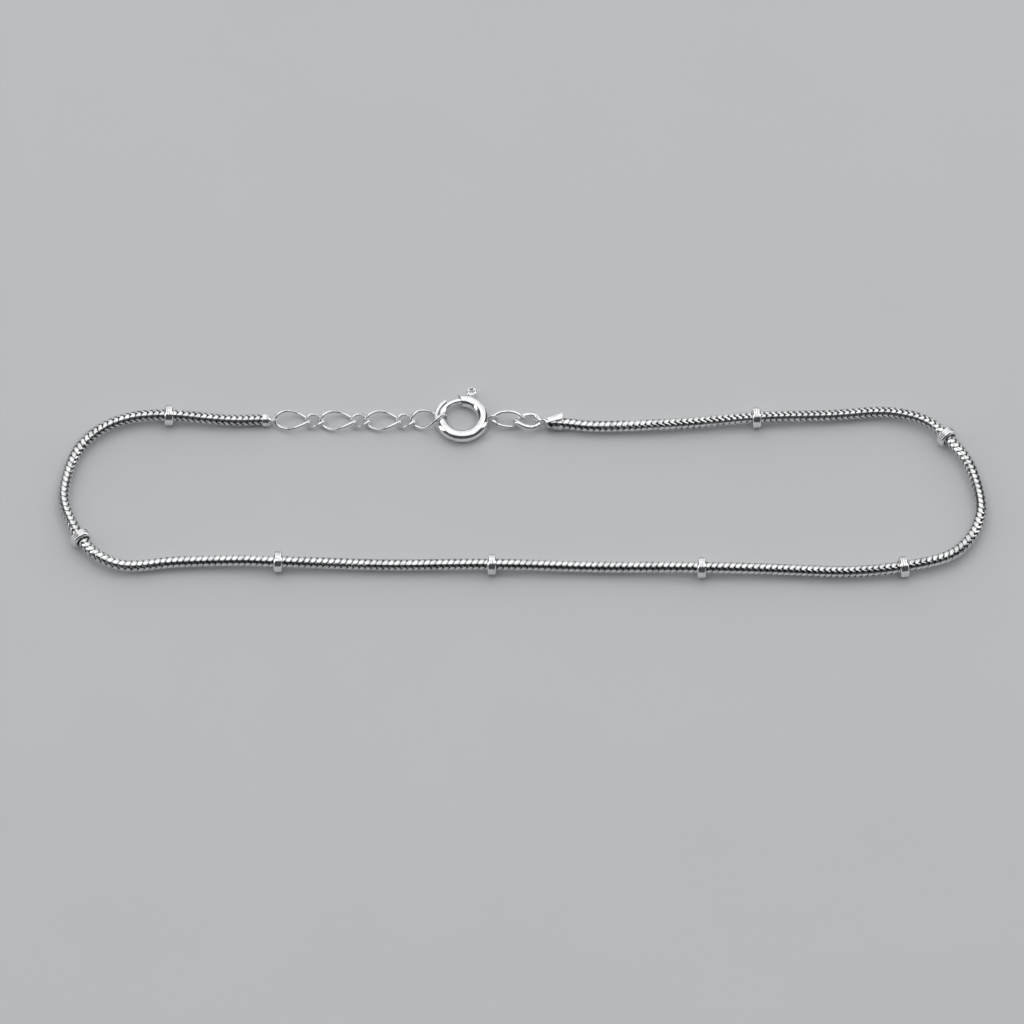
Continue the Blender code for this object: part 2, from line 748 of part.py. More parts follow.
def build_end_cap(group, helpers, root):
    """Make the turned cup, pinched to a plate with an eye for the first extension link."""
    bore = CHAIN_DIAMETER / 2 + CAP_BORE_CLEARANCE
    rim = bore + CAP_WALL
    rings = nose_rings(CAP_NOSE_LENGTH, cap_eye_radius(), CAP_EYE_RIM, CAP_PLATE_THICKNESS, rim)
    cap = loft("end_cap", rings, group)
    mouth = CAP_NOSE_LENGTH + CAP_CUP_LENGTH
    overlap = CAP_WALL / 2
    cup_profile = [(rim, mouth), (rim, CAP_NOSE_LENGTH - overlap), (bore, CAP_NOSE_LENGTH - overlap)]
    cup_profile += [(bore, mouth)]
    cup = turned("cup", cup_profile, 16, helpers)
    cup.rotation_euler = (0.0, math.pi / 2, 0.0)
    eye = eye_cutter("cap_eye", cap_eye_radius(), rim, helpers)
    hub = bpy.data.objects.new("cap_hub", None)
    hub.empty_display_size = rim
    group.objects.link(hub)
    hub.parent = root
    hub.location = cap_eye()
    hub.rotation_euler = (-math.radians(CURB_TWIST), 0.0, math.pi)
    for tool in (cup, eye):
        hide_helper(tool, hub)
    add_boolean(cap, cup, "UNION")
    add_boolean(cap, eye, "DIFFERENCE")
    finish_piece(cap, CLASP_SILVER, hub)


def folded_sleeve(name, bore, helpers):
    """Return the crimp's folded sheet, open along its top, between the throat and the mouth."""
    shell = bmesh.new()
    rows = []
    for share in (0.0, 0.5, 1.0):
        along = CRIMP_NOSE_LENGTH + CRIMP_SLEEVE_LENGTH * share
        ring = []
        for fold in FOLD_ROWS:
            side = (fold.throat_y + (fold.mouth_y - fold.throat_y) * share) * bore
            height = (fold.throat_z + (fold.mouth_z - fold.throat_z) * share) * bore
            ring.append(shell.verts.new((along, side, height)))
        rows.append(ring)
    for near, far in zip(rows, rows[1:]):
        for index in range(len(near) - 1):
            shell.faces.new((near[index], far[index], far[index + 1], near[index + 1]))
    mesh = bpy.data.meshes.new(name)
    shell.to_mesh(mesh)
    shell.free()
    sleeve = add_object(name, mesh, helpers)
    solidify = sleeve.modifiers.new("wall", "SOLIDIFY")
    solidify.thickness = CRIMP_WALL
    solidify.offset = 1.0
    solidify.use_even_offset = True
    return sleeve


def build_crimp_end(group, helpers, root):
    """Make the folded crimp with its pinched nose and eye."""
    bore = CHAIN_DIAMETER / 2 + CRIMP_BORE_CLEARANCE
    mouth_radius = bore + CRIMP_WALL * 0.3
    nose_length = CRIMP_NOSE_LENGTH + CRIMP_WALL / 2
    rings = nose_rings(
        nose_length, crimp_eye_radius(), CRIMP_EYE_RIM, CRIMP_PLATE_THICKNESS, mouth_radius
    )
    crimp = loft("crimp_end", rings, group)
    sleeve = folded_sleeve("sleeve", bore, helpers)
    eye = eye_cutter("crimp_eye", crimp_eye_radius(), bore, helpers)
    hub = bpy.data.objects.new("crimp_hub", None)
    hub.empty_display_size = bore
    group.objects.link(hub)
    hub.parent = root
    hub.location = crimp_eye()
    hub.rotation_euler = (0.0, 0.0, math.radians(CRIMP_TURN))
    for tool in (sleeve, eye):
        hide_helper(tool, hub)
    add_boolean(crimp, sleeve, "UNION")
    add_boolean(crimp, eye, "DIFFERENCE")
    finish_piece(crimp, CLASP_SILVER, hub)


def centre_on_surface(root, group):
    """Shift the root so that the origin is the bottom centre of the whole bracelet's box."""
    depsgraph = bpy.context.evaluated_depsgraph_get()
    corners = []
    for thing in group.objects:
        if thing.type == "EMPTY":
            continue
        evaluated = thing.evaluated_get(depsgraph)
        mesh = evaluated.to_mesh()
        corners += [evaluated.matrix_world @ vertex.co for vertex in mesh.vertices]
        evaluated.to_mesh_clear()
    low = [min(corner[axis] for corner in corners) for axis in range(3)]
    high = [max(corner[axis] for corner in corners) for axis in range(3)]
    root.location = (-(low[0] + high[0]) / 2, -(low[1] + high[1]) / 2, -low[2])


def main():
    """Build the whole bracelet."""
    clear_scene()
    group = make_collection("snake_chain_bracelet")
    helpers = make_collection("cutters")
    root = bpy.data.objects.new("bracelet_root", None)
    root.empty_display_size = BEAD_DIAMETER
    group.objects.link(root)
    points, beads = chain_stations()
    build_chain(points, group, root)
    build_beads(beads, group, root)
    build_end_cap(group, helpers, root)
    build_extension(group, root)
    build_clasp(group, helpers, root)
    build_jump_links(group, root)
    build_crimp_end(group, helpers, root)
    bpy.context.view_layer.update()
    centre_on_surface(root, group)
    bpy.context.view_layer.update()


main()
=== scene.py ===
"""Looks of a silver snake chain bracelet that lies closed on a pale floor.

Metres, +Z up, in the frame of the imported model. Each sub-assembly is a class that builds its own
meshes, dresses them in silver and lets them ride on their body.
"""

import logging
import math
from collections.abc import Sequence
from dataclasses import dataclass, field
from enum import Enum

import bmesh
import bpy
from mathutils import Matrix, Vector, noise


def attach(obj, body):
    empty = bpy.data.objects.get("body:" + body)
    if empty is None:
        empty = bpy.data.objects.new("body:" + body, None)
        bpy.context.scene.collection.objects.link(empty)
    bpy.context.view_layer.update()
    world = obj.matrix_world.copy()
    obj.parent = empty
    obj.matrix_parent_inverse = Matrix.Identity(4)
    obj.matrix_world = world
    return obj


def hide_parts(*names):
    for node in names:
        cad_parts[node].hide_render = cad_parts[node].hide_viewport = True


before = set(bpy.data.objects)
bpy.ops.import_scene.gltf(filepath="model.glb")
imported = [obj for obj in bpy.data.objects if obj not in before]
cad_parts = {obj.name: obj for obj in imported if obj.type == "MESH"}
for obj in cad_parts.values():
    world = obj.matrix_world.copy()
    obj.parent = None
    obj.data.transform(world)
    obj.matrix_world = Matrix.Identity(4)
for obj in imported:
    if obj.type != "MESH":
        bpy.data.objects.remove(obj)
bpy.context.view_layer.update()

MM = 0.001
WELD = 0.0000005
ROOT_SHIFT = Vector((-0.12, -0.982, 0.0)) * MM
ELEVATION = math.radians(57.0)
TOWARD_CAMERA = Vector((0.0, -math.cos(ELEVATION), math.sin(ELEVATION)))
IMAGE_UP = Vector((0.0, math.sin(ELEVATION), math.cos(ELEVATION)))
UP = Vector((0.0, 0.0, 1.0))
BODY = "bracelet"
TRIGGER_BODY = "trigger"
RECESS = "recess"
# Each step of a domed wire end: its radius and its rise, as shares of the wire's radius.
DOME_STEPS = ((0.86, 0.13), (0.60, 0.09), (0.28, 0.04))
# An angle in radians that no wire reaches, for a link whose seam is hidden.
NO_SEAM = -9.0
IMAGE_SIZE = 1024.0
SENSOR = 36.0

LOG = logging.getLogger("snake_chain_bracelet")


class Slot(Enum):
    """Slot names that each piece carries."""

    CHAIN = "chain"
    BEADS = "beads"
    LINKS = "links"
    FITTINGS = "fittings"


# ---------------------------------------------------------------- finishes


def add_node(
    tree: bpy.types.NodeTree, kind: str, values: dict[str | int, object], **settings: str
) -> bpy.types.Node:
    """Add a shader node with its inputs set or linked.

    Args:
        tree: The material's node tree.
        kind: The node's type, less its first word.
        values: Each input with its value, or with the socket that feeds it.
        settings: The node's own settings.

    Returns:
        The node.
    """
    node = tree.nodes.new("ShaderNode" + kind)
    for name, setting in settings.items():
        setattr(node, name, setting)
    for name, value in values.items():
        if isinstance(value, bpy.types.NodeSocket):
            tree.links.new(value, node.inputs[name])
        else:
            node.inputs[name].default_value = value
    return node


@dataclass(frozen=True)
class SilverFinish:
    """A polished silver with fine scratches, soft dents, painted shade in its recesses and random grey
    blotches.
    """

    name: str
    colour: tuple[float, float, float]
    roughness: float
    roughness_spread: float
    scratch_depth: float
    dent_size: float
    dent_depth: float
    # The strength of the painted shade in recesses, and the dark colour that it and the random grey blotches
    # mix toward.
    recess_shade: float
    shade_and_tarnish_colour: tuple[float, float, float] = (0.045, 0.047, 0.05)
    blotch_scale: float = 900.0
    cloud_band: tuple[float, float] = (0.48, 0.80)
    cloud_share: float = 0.35
    wear_band: tuple[float, float] = (0.3, 0.7)
    scratch_scale: tuple[float, float, float] = (9000.0, 1500.0, 2600.0)
    scratch_turn: tuple[float, float, float] = (0.3, 0.2, 0.7)
    scratch_strength: float = 0.5
    dent_strength: float = 0.6

    def material(self) -> bpy.types.Material:
        """Build the finish's node material.

        Returns:
            The material, its painted recess shade read from the mesh attribute "recess".
        """
        made = bpy.data.materials.new(self.name)
        made.use_nodes = True
        tree = made.node_tree
        shader = tree.nodes["Principled BSDF"]
        shader.inputs["Metallic"].default_value = 1.0
        place = add_node(tree, "TexCoord", {}).outputs["Object"]
        blotch = add_node(
            tree, "TexNoise", {"Vector": place, "Scale": self.blotch_scale, "Detail": 4.0}
        ).outputs["Fac"]

        # The mesh attribute "recess" says where painted shade goes: joints, grooves, bores and seams.
        recess = add_node(tree, "Attribute", {}, attribute_name=RECESS)
        low, high = self.cloud_band
        clouds = add_node(tree, "MapRange", {
            "Value": blotch, "From Min": low, "From Max": high, "To Min": 0.0,
            "To Max": self.recess_shade * self.cloud_share,
        })
        # Painted recess shade plus random grey blotches, mixing the colour toward the dark one.
        darkness = add_node(
            tree, "Math", {0: recess.outputs["Fac"], 1: self.recess_shade, 2: clouds.outputs["Result"]},
            operation="MULTIPLY_ADD",
        )
        tint = add_node(tree, "Mix", {
            "A": (*self.colour, 1.0), "B": (*self.shade_and_tarnish_colour, 1.0), "Factor": darkness.outputs["Value"],
        }, data_type="RGBA")
        tree.links.new(tint.outputs["Result"], shader.inputs["Base Color"])

        low, high = self.wear_band
        wear = add_node(tree, "MapRange", {
            "Value": blotch, "From Min": low, "From Max": high,
            "To Min": self.roughness - self.roughness_spread,
            "To Max": self.roughness + self.roughness_spread,
        })
        tree.links.new(wear.outputs["Result"], shader.inputs["Roughness"])

        grain = add_node(
            tree, "Mapping", {"Vector": place, "Scale": self.scratch_scale, "Rotation": self.scratch_turn}
        ).outputs["Vector"]
        scratches = add_node(tree, "TexNoise", {"Vector": grain, "Scale": 1.0, "Detail": 5.0})
        dents = add_node(tree, "TexNoise", {"Vector": place, "Scale": 1.0 / self.dent_size, "Detail": 2.0})
        fine = add_node(tree, "Bump", {
            "Strength": self.scratch_strength, "Distance": self.scratch_depth,
            "Height": scratches.outputs["Fac"],
        })
        broad = add_node(tree, "Bump", {
            "Strength": self.dent_strength, "Distance": self.dent_depth, "Height": dents.outputs["Fac"],
            "Normal": fine.outputs["Normal"],
        })
        tree.links.new(broad.outputs["Normal"], shader.inputs["Normal"])
        made.diffuse_color = (*self.colour, 1.0)
        return made


# Each finish's last number is the strength of its painted recess shade.
CHAIN_SILVER = SilverFinish(
    "chain_silver", (0.86, 0.865, 0.87), 0.20, 0.05, 0.002 * MM, 0.30 * MM, 0.006 * MM, 0.93
)
BEAD_SILVER = SilverFinish(
    "bead_silver", (0.92, 0.925, 0.93), 0.15, 0.05, 0.002 * MM, 0.45 * MM, 0.008 * MM, 0.75
)
LINK_SILVER = SilverFinish(
    "link_silver", (0.90, 0.905, 0.91), 0.17, 0.05, 0.003 * MM, 0.35 * MM, 0.010 * MM, 0.70
)
CLASP_SILVER = SilverFinish(
    "clasp_silver", (0.91, 0.915, 0.925), 0.15, 0.05, 0.003 * MM, 0.60 * MM, 0.010 * MM, 0.75
)
CRIMP_SILVER = SilverFinish(
    "crimp_silver", (0.89, 0.895, 0.90), 0.20, 0.06, 0.004 * MM, 0.30 * MM, 0.030 * MM, 0.80
)


@dataclass(frozen=True)
class FloorFinish:
    """A plain pale matt floor."""

    name: str = "pale_floor"
    colour: tuple[float, float, float] = (0.67, 0.68, 0.69)
    roughness: float = 0.85
    specular: float = 0.2
    grain_scale: float = 60.0
    grain_shade: float = 0.97

    def material(self) -> bpy.types.Material:
        """Build the floor's node material.

        Returns:
            The material.
        """
        made = bpy.data.materials.new(self.name)
        made.use_nodes = True
        tree = made.node_tree
        shader = tree.nodes["Principled BSDF"]
        shader.inputs["Roughness"].default_value = self.roughness
        shader.inputs["Specular IOR Level"].default_value = self.specular
        place = add_node(tree, "TexCoord", {}).outputs["Object"]
        grain = add_node(tree, "TexNoise", {"Vector": place, "Scale": self.grain_scale})
        shade = tuple(share * self.grain_shade for share in self.colour)
        tint = add_node(tree, "Mix", {
            "A": (*self.colour, 1.0), "B": (*shade, 1.0), "Factor": grain.outputs["Fac"],
        }, data_type="RGBA")
        tree.links.new(tint.outputs["Result"], shader.inputs["Base Color"])
        return made


# ---------------------------------------------------------------- mesh helpers


def polar(radius: float, degrees: float) -> Vector:
    """Return a point of the XY plane at an angle in degrees."""
    angle = math.radians(degrees)
    return Vector((radius * math.cos(angle), radius * math.sin(angle), 0.0))


def bearing(spot: Vector) -> float:
    """Return a point's angle about Z in degrees, from 0 to 360."""
    return math.degrees(math.atan2(spot.y, spot.x)) % 360.0


def held(value: float) -> float:
    """Return a value held between 0 and 1."""
    return max(0.0, min(1.0, value))


def frame_matrix(origin: Vector, along: Vector, up: Vector) -> Matrix:
    """Return a frame whose X runs along and whose Z is as near as can be to up.

    Args:
        origin: The frame's origin.
        along: The direction of its X axis.
        up: The direction that its Z axis comes nearest to.

    Returns:
        The four by four matrix.
    """
    side = up.cross(along).normalized()
    top = along.cross(side).normalized()
    turn = Matrix((along.normalized(), side, top)).transposed()
    return Matrix.Translation(origin) @ turn.to_4x4()


def spun(
    section: Sequence[tuple[float, float]], sides: int, closed: bool = True, turn: float = 360.0
) -> bmesh.types.BMesh:
    """Turn a section about X.

    Args:
        section: Rows of the way along X and the radius.
        sides: How many steps the turn has.
        closed: Whether the section's last point joins its first.
        turn: The angle of the turn in degrees.

    Returns:
        The turned shell.
    """
    shell = bmesh.new()
    verts = [shell.verts.new((along, 0.0, radius)) for along, radius in section]
    pairs = list(zip(verts, verts[1:]))
    if closed:
        pairs.append((verts[-1], verts[0]))
    edges = [shell.edges.new(pair) for pair in pairs]
    full = abs(turn) >= 360.0
    bmesh.ops.spin(
        shell, geom=verts + edges, cent=(0.0, 0.0, 0.0), axis=(1.0, 0.0, 0.0), dvec=(0.0, 0.0, 0.0),
        angle=math.radians(turn), steps=sides, use_merge=full, use_duplicate=False,
    )
    bmesh.ops.remove_doubles(shell, verts=shell.verts, dist=WELD)
    bmesh.ops.recalc_face_normals(shell, faces=shell.faces)
    return shell


def swept_arc(
    radius: float, wire: float, start: float, stop: float, sides: int, steps: int
) -> bmesh.types.BMesh:
    """Sweep a round wire's circle about Z, its two ends left open.

    Args:
        radius: The arc's radius.
        wire: The wire's radius.
        start: The first angle in degrees.
        stop: The last angle in degrees.
        sides: Sides of the wire's circle.
        steps: Steps of the sweep.

    Returns:
        The open tube.
    """
    shell = bmesh.new()
    lay = Matrix.Translation((radius, 0.0, 0.0)) @ Matrix.Rotation(math.pi / 2, 4, "X")
    bmesh.ops.create_circle(shell, cap_ends=False, radius=wire, segments=sides, matrix=lay)
    bmesh.ops.rotate(
        shell, cent=(0.0, 0.0, 0.0), matrix=Matrix.Rotation(math.radians(start), 3, "Z"), verts=shell.verts
    )
    bmesh.ops.spin(
        shell, geom=shell.verts[:] + shell.edges[:], cent=(0.0, 0.0, 0.0), axis=(0.0, 0.0, 1.0),
        dvec=(0.0, 0.0, 0.0), angle=math.radians(stop - start), steps=steps, use_merge=False,
        use_duplicate=False,
    )
    return shell


def torus(
    radius: float, half_radial: float, half_height: float, steps: int, sides: int
) -> bmesh.types.BMesh:
    """Turn a flattened circle about Z into a closed ring.

    Args:
        radius: The ring's radius.
        half_radial: Half the section's size across the ring.
        half_height: Half the section's size along Z.
        steps: Steps round the ring.
        sides: Sides of the section.

    Returns:
        The ring.
    """
    shell = bmesh.new()
    lay = Matrix.Rotation(math.pi / 2, 4, "X")
    bmesh.ops.create_circle(shell, cap_ends=False, radius=1.0, segments=sides, matrix=lay)
    bmesh.ops.scale(shell, vec=(half_radial, 1.0, half_height), verts=shell.verts)
    bmesh.ops.translate(shell, vec=(radius, 0.0, 0.0), verts=shell.verts)
    bmesh.ops.spin(
        shell, geom=shell.verts[:] + shell.edges[:], cent=(0.0, 0.0, 0.0), axis=(0.0, 0.0, 1.0),
        dvec=(0.0, 0.0, 0.0), angle=math.tau, steps=steps, use_merge=True, use_duplicate=False,
    )
    bmesh.ops.remove_doubles(shell, verts=shell.verts, dist=WELD)
    bmesh.ops.recalc_face_normals(shell, faces=shell.faces)
    return shell


def grow_rim(
    shell: bmesh.types.BMesh, rim: list[bmesh.types.BMEdge]
) -> tuple[list[bmesh.types.BMVert], list[bmesh.types.BMEdge]]:
    """Extrude an open rim.

    Args:
        shell: The shell that grows.
        rim: The open rim's edges.

    Returns:
        The new rim's verts and its edges.
    """
    grown = bmesh.ops.extrude_edge_only(shell, edges=rim)["geom"]
    verts = [part for part in grown if isinstance(part, bmesh.types.BMVert)]
    edges = [part for part in grown if isinstance(part, bmesh.types.BMEdge)]
    return verts, [edge for edge in edges if all(vert in verts for vert in edge.verts)]


def cut(shell: bmesh.types.BMesh, through: Vector, normal: Vector) -> None:
    """Cut every face of a shell along a plane, and keep both sides."""
    bmesh.ops.bisect_plane(
        shell, geom=shell.verts[:] + shell.edges[:] + shell.faces[:], dist=WELD, plane_co=through,
        plane_no=normal,
    )


def dome_end(
    shell: bmesh.types.BMesh, edges: list[bmesh.types.BMEdge], outward: Vector, wire: float
) -> None:
    """Close an open round end with a shallow dome.

    Args:
        shell: The shell to close.
        edges: The open end's edges.
        outward: The direction that the dome bulges to.
        wire: The wire's radius.
    """
    rim = edges
    for grow, rise in DOME_STEPS:
        verts, rim = grow_rim(shell, rim)
        middle = sum((vert.co for vert in verts), Vector()) / len(verts)
        reach = sum((vert.co - middle).length for vert in verts) / len(verts)
        bmesh.ops.scale(
            shell, vec=(wire * grow / reach,) * 3, space=Matrix.Translation(-middle), verts=verts
        )
        bmesh.ops.translate(shell, vec=outward * wire * rise, verts=verts)
    bmesh.ops.contextual_create(shell, geom=rim)


def open_rims(shell: bmesh.types.BMesh) -> list[list[bmesh.types.BMEdge]]:
    """Return the open loops of a shell, each as its edges in no special order."""
    loose = {edge for edge in shell.edges if edge.is_boundary}
    rims = []
    while loose:
        rim = [loose.pop()]
        for edge in rim:
            for vert in edge.verts:
                for after in vert.link_edges:
                    if after in loose:
                        loose.remove(after)
                        rim.append(after)
        rims.append(rim)
    return rims


def rim_bearing(rim: list[bmesh.types.BMEdge]) -> float:
    """Return the angle about Z, in degrees, of an open rim's middle."""
    return bearing(sum((edge.verts[0].co for edge in rim), Vector()) / len(rim))


def add_shell(target: bmesh.types.BMesh, part: bmesh.types.BMesh, place: Matrix) -> None:
    """Copy a shell into another at a place, and free it.

    Args:
        target: The shell that grows.
        part: The shell that is added, at its own origin.
        place: Where it goes.
    """
    mesh = bpy.data.meshes.new("part")
    part.to_mesh(mesh)
    mesh.transform(place)
    target.from_mesh(mesh)
    part.free()
    bpy.data.meshes.remove(mesh)


@dataclass
class Piece:
    """A finished shell on its way to becoming an object that stands for one CAD node."""

    name: str
    shell: bmesh.types.BMesh
    finish: SilverFinish
    slot: Slot
    body: str = BODY
    sharp: float = 40.0

    def place(self) -> bpy.types.Object:
        """Make the object, dress it, tie it to its body and hide its CAD node.

        Returns:
            The finished object.
        """
        mesh = bpy.data.meshes.new(self.name)
        self.shell.to_mesh(mesh)
        self.shell.free()
        mesh.materials.append(self.finish.material())
        mesh.shade_smooth()
        mesh.set_sharp_from_angle(angle=math.radians(self.sharp))
        thing = bpy.data.objects.new("silver_" + self.name, mesh)
        bpy.context.scene.collection.objects.link(thing)
        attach(thing, self.body)
        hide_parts(self.name)
        LOG.info("%s: %d faces", thing.name, len(mesh.polygons))
        return thing


# ---------------------------------------------------------------- chain


@dataclass
class ChainRoute:
    """The chain's smooth way from the end cap round to the crimp end."""

    # Points that the chain passes through, in millimetres, and whether a bead sits there.
    stops: tuple[tuple[float, float, bool], ...] = (
        (-30.3, 8.74, False), (-33.4, 8.92, False), (-36.74, 9.23, True), (-40.7, 8.92, False),
        (-43.8, 7.56, False), (-46.15, 4.96, False), (-47.4, 0.87, False), (-47.35, -2.23, False),
        (-45.7, -6.07, True), (-43.6, -8.37, False), (-40.7, -9.42, False), (-35.7, -8.92, False),
        (-29.3, -8.80, False), (-25.2, -8.98, True), (-14.0, -9.27, False), (-3.07, -9.30, True),
        (8.2, -9.54, False), (18.66, -9.70, True), (27.0, -9.88, False), (34.1, -10.16, False),
        (39.55, -9.60, True), (44.0, -8.37, False), (46.2, -6.44, False), (47.4, -3.97, False),
        (47.65, -1.24, False), (46.5, 3.22, False), (44.3, 6.51, True), (42.5, 8.24, False),
        (40.4, 9.20, False), (37.2, 9.68, False), (32.0, 9.25, False), (24.5, 8.92, True),
        (16.5, 8.18, False), (8.2, 7.93, False),
    )
    bead_height: float = 1.128 * MM
    bead_straight: float = 2.0 * MM
    sag: float = 0.16 * MM
    cap_floor: Vector = field(default_factory=lambda: Vector((-26.39, 8.84, 0.80)) * MM)
    cap_depth: float = 1.08 * MM
    crimp_floor: Vector = field(default_factory=lambda: Vector((2.848, 8.427, 0.90)) * MM)
    crimp_turn: float = -5.0
    crimp_depth: float = 1.90 * MM
    end_clearance: float = 0.10 * MM
    dense: list[Vector] = field(init=False)
    marks: list[float] = field(init=False)
    knots: list[tuple[float, float]] = field(init=False)
    centres: list[float] = field(init=False)

    def __post_init__(self) -> None:
        """Measure the way and set the heights along it."""
        start = self.cap_floor - Vector((self.cap_depth, 0.0, 0.0))
        finish = self.crimp_floor + polar(self.crimp_depth, self.crimp_turn)
        flat = [Vector((start.x, start.y, 0.0))]
        flat += [Vector((x * MM, y * MM, 0.0)) for x, y, _ in self.stops]
        flat.append(Vector((finish.x, finish.y, 0.0)))
        self.dense = self.smoothed(flat)
        self.marks = [0.0]
        for first, second in zip(self.dense, self.dense[1:]):
            self.marks.append(self.marks[-1] + (second - first).length)
        self.centres = []
        for (_, _, bead), stop in zip(self.stops, flat[1:-1]):
            if bead:
                gaps = [(point - stop).length for point in self.dense]
                self.centres.append(self.marks[gaps.index(min(gaps))])
        self.knots = [(0.0, start.z)]
        for centre in self.centres:
            self.knots.append((centre - self.bead_straight / 2, self.bead_height))
            self.knots.append((centre + self.bead_straight / 2, self.bead_height))
        self.knots.append((self.marks[-1], finish.z))

    @staticmethod
    def smoothed(points: list[Vector], steps: int = 24) -> list[Vector]:
        """Return dense points on a Catmull-Rom curve.

        Args:
            points: The points that the curve passes through.
            steps: How many points each span gets.

        Returns:
            The dense points.
        """
        dense = []
        for index in range(len(points) - 1):
            second, third = points[index], points[index + 1]
            first = points[index - 1] if index else second * 2 - third
            fourth = points[index + 2] if index + 2 < len(points) else third * 2 - second
            for step in range(steps):
                share = step / steps
                dense.append(
                    0.5
                    * (
                        second * 2
                        + (third - first) * share
                        + (first * 2 - second * 5 + third * 4 - fourth) * share**2
                        + (second * 3 - first - third * 3 + fourth) * share**3
                    )
                )
        dense.append(points[-1])
        return dense

    def flat(self, distance: float) -> Vector:
        """Return the point on the plan curve at a distance along it."""
        low, high = 0, len(self.marks) - 1
        while high - low > 1:
            middle = (low + high) // 2
            if self.marks[middle] <= distance:
                low = middle
            else:
                high = middle
        share = (distance - self.marks[low]) / (self.marks[high] - self.marks[low])
        return self.dense[low].lerp(self.dense[high], share)

    def length(self) -> float:
        """Return the way's length between the two fittings' mouths."""
        return self.marks[-1]

    def point(self, distance: float) -> Vector:
        """Return the chain's centre at a distance from the start of the way.

        Args:
            distance: The distance, which may run past either end into the fittings.

        Returns:
            The centre, before the bracelet's shift.
        """
        if distance < 0.0:
            return self.cap_floor - Vector((self.cap_depth + distance, 0.0, 0.0))
        if distance > self.length():
            past = self.crimp_depth - (distance - self.length())
            return self.crimp_floor + polar(past, self.crimp_turn)
        for index in range(len(self.knots) - 1):
            near, far = self.knots[index], self.knots[index + 1]
            if distance <= far[0]:
                break
        share = (distance - near[0]) / (far[0] - near[0])
        if index % 2:
            place = self.flat(near[0]).lerp(self.flat(far[0]), share)
            place.z = self.bead_height
            return place
        place = self.flat(distance)
        ease = share * share * (3.0 - 2.0 * share)
        place.z = near[1] + (far[1] - near[1]) * ease
        if 0 < index < len(self.knots) - 2:
            place.z -= self.sag * math.sin(math.pi * share) ** 2
        return place

    def direction(self, distance: float) -> Vector:
        """Return the chain's direction at a distance along the way."""
        reach = 0.4 * MM
        return (self.point(distance + reach) - self.point(distance - reach)).normalized()

    def beads(self) -> list[tuple[Vector, Vector]]:
        """Return each bead's centre and the chain's direction there."""
        found = []
        for centre in self.centres:
            before = self.point(centre - self.bead_straight / 2 + WELD)
            after = self.point(centre + self.bead_straight / 2 - WELD)
            found.append(((before + after) / 2, (after - before).normalized()))
        return found


@dataclass(frozen=True)
class WaveLine:
    """A line along the chain: how far a band swings there, how wide it is and how deep its joint."""

    swing: float
    width: float
    joint: float


@dataclass(frozen=True)
class BandRing:
    """A ring round a band: its place in half bands, its radius and how much painted shade it gets."""

    along: float
    radius: float
    recess: float


@dataclass(frozen=True)
class TwistStop:
    """How far the bands are turned about the chain at a distance along its way."""

    along: float
    degrees: float


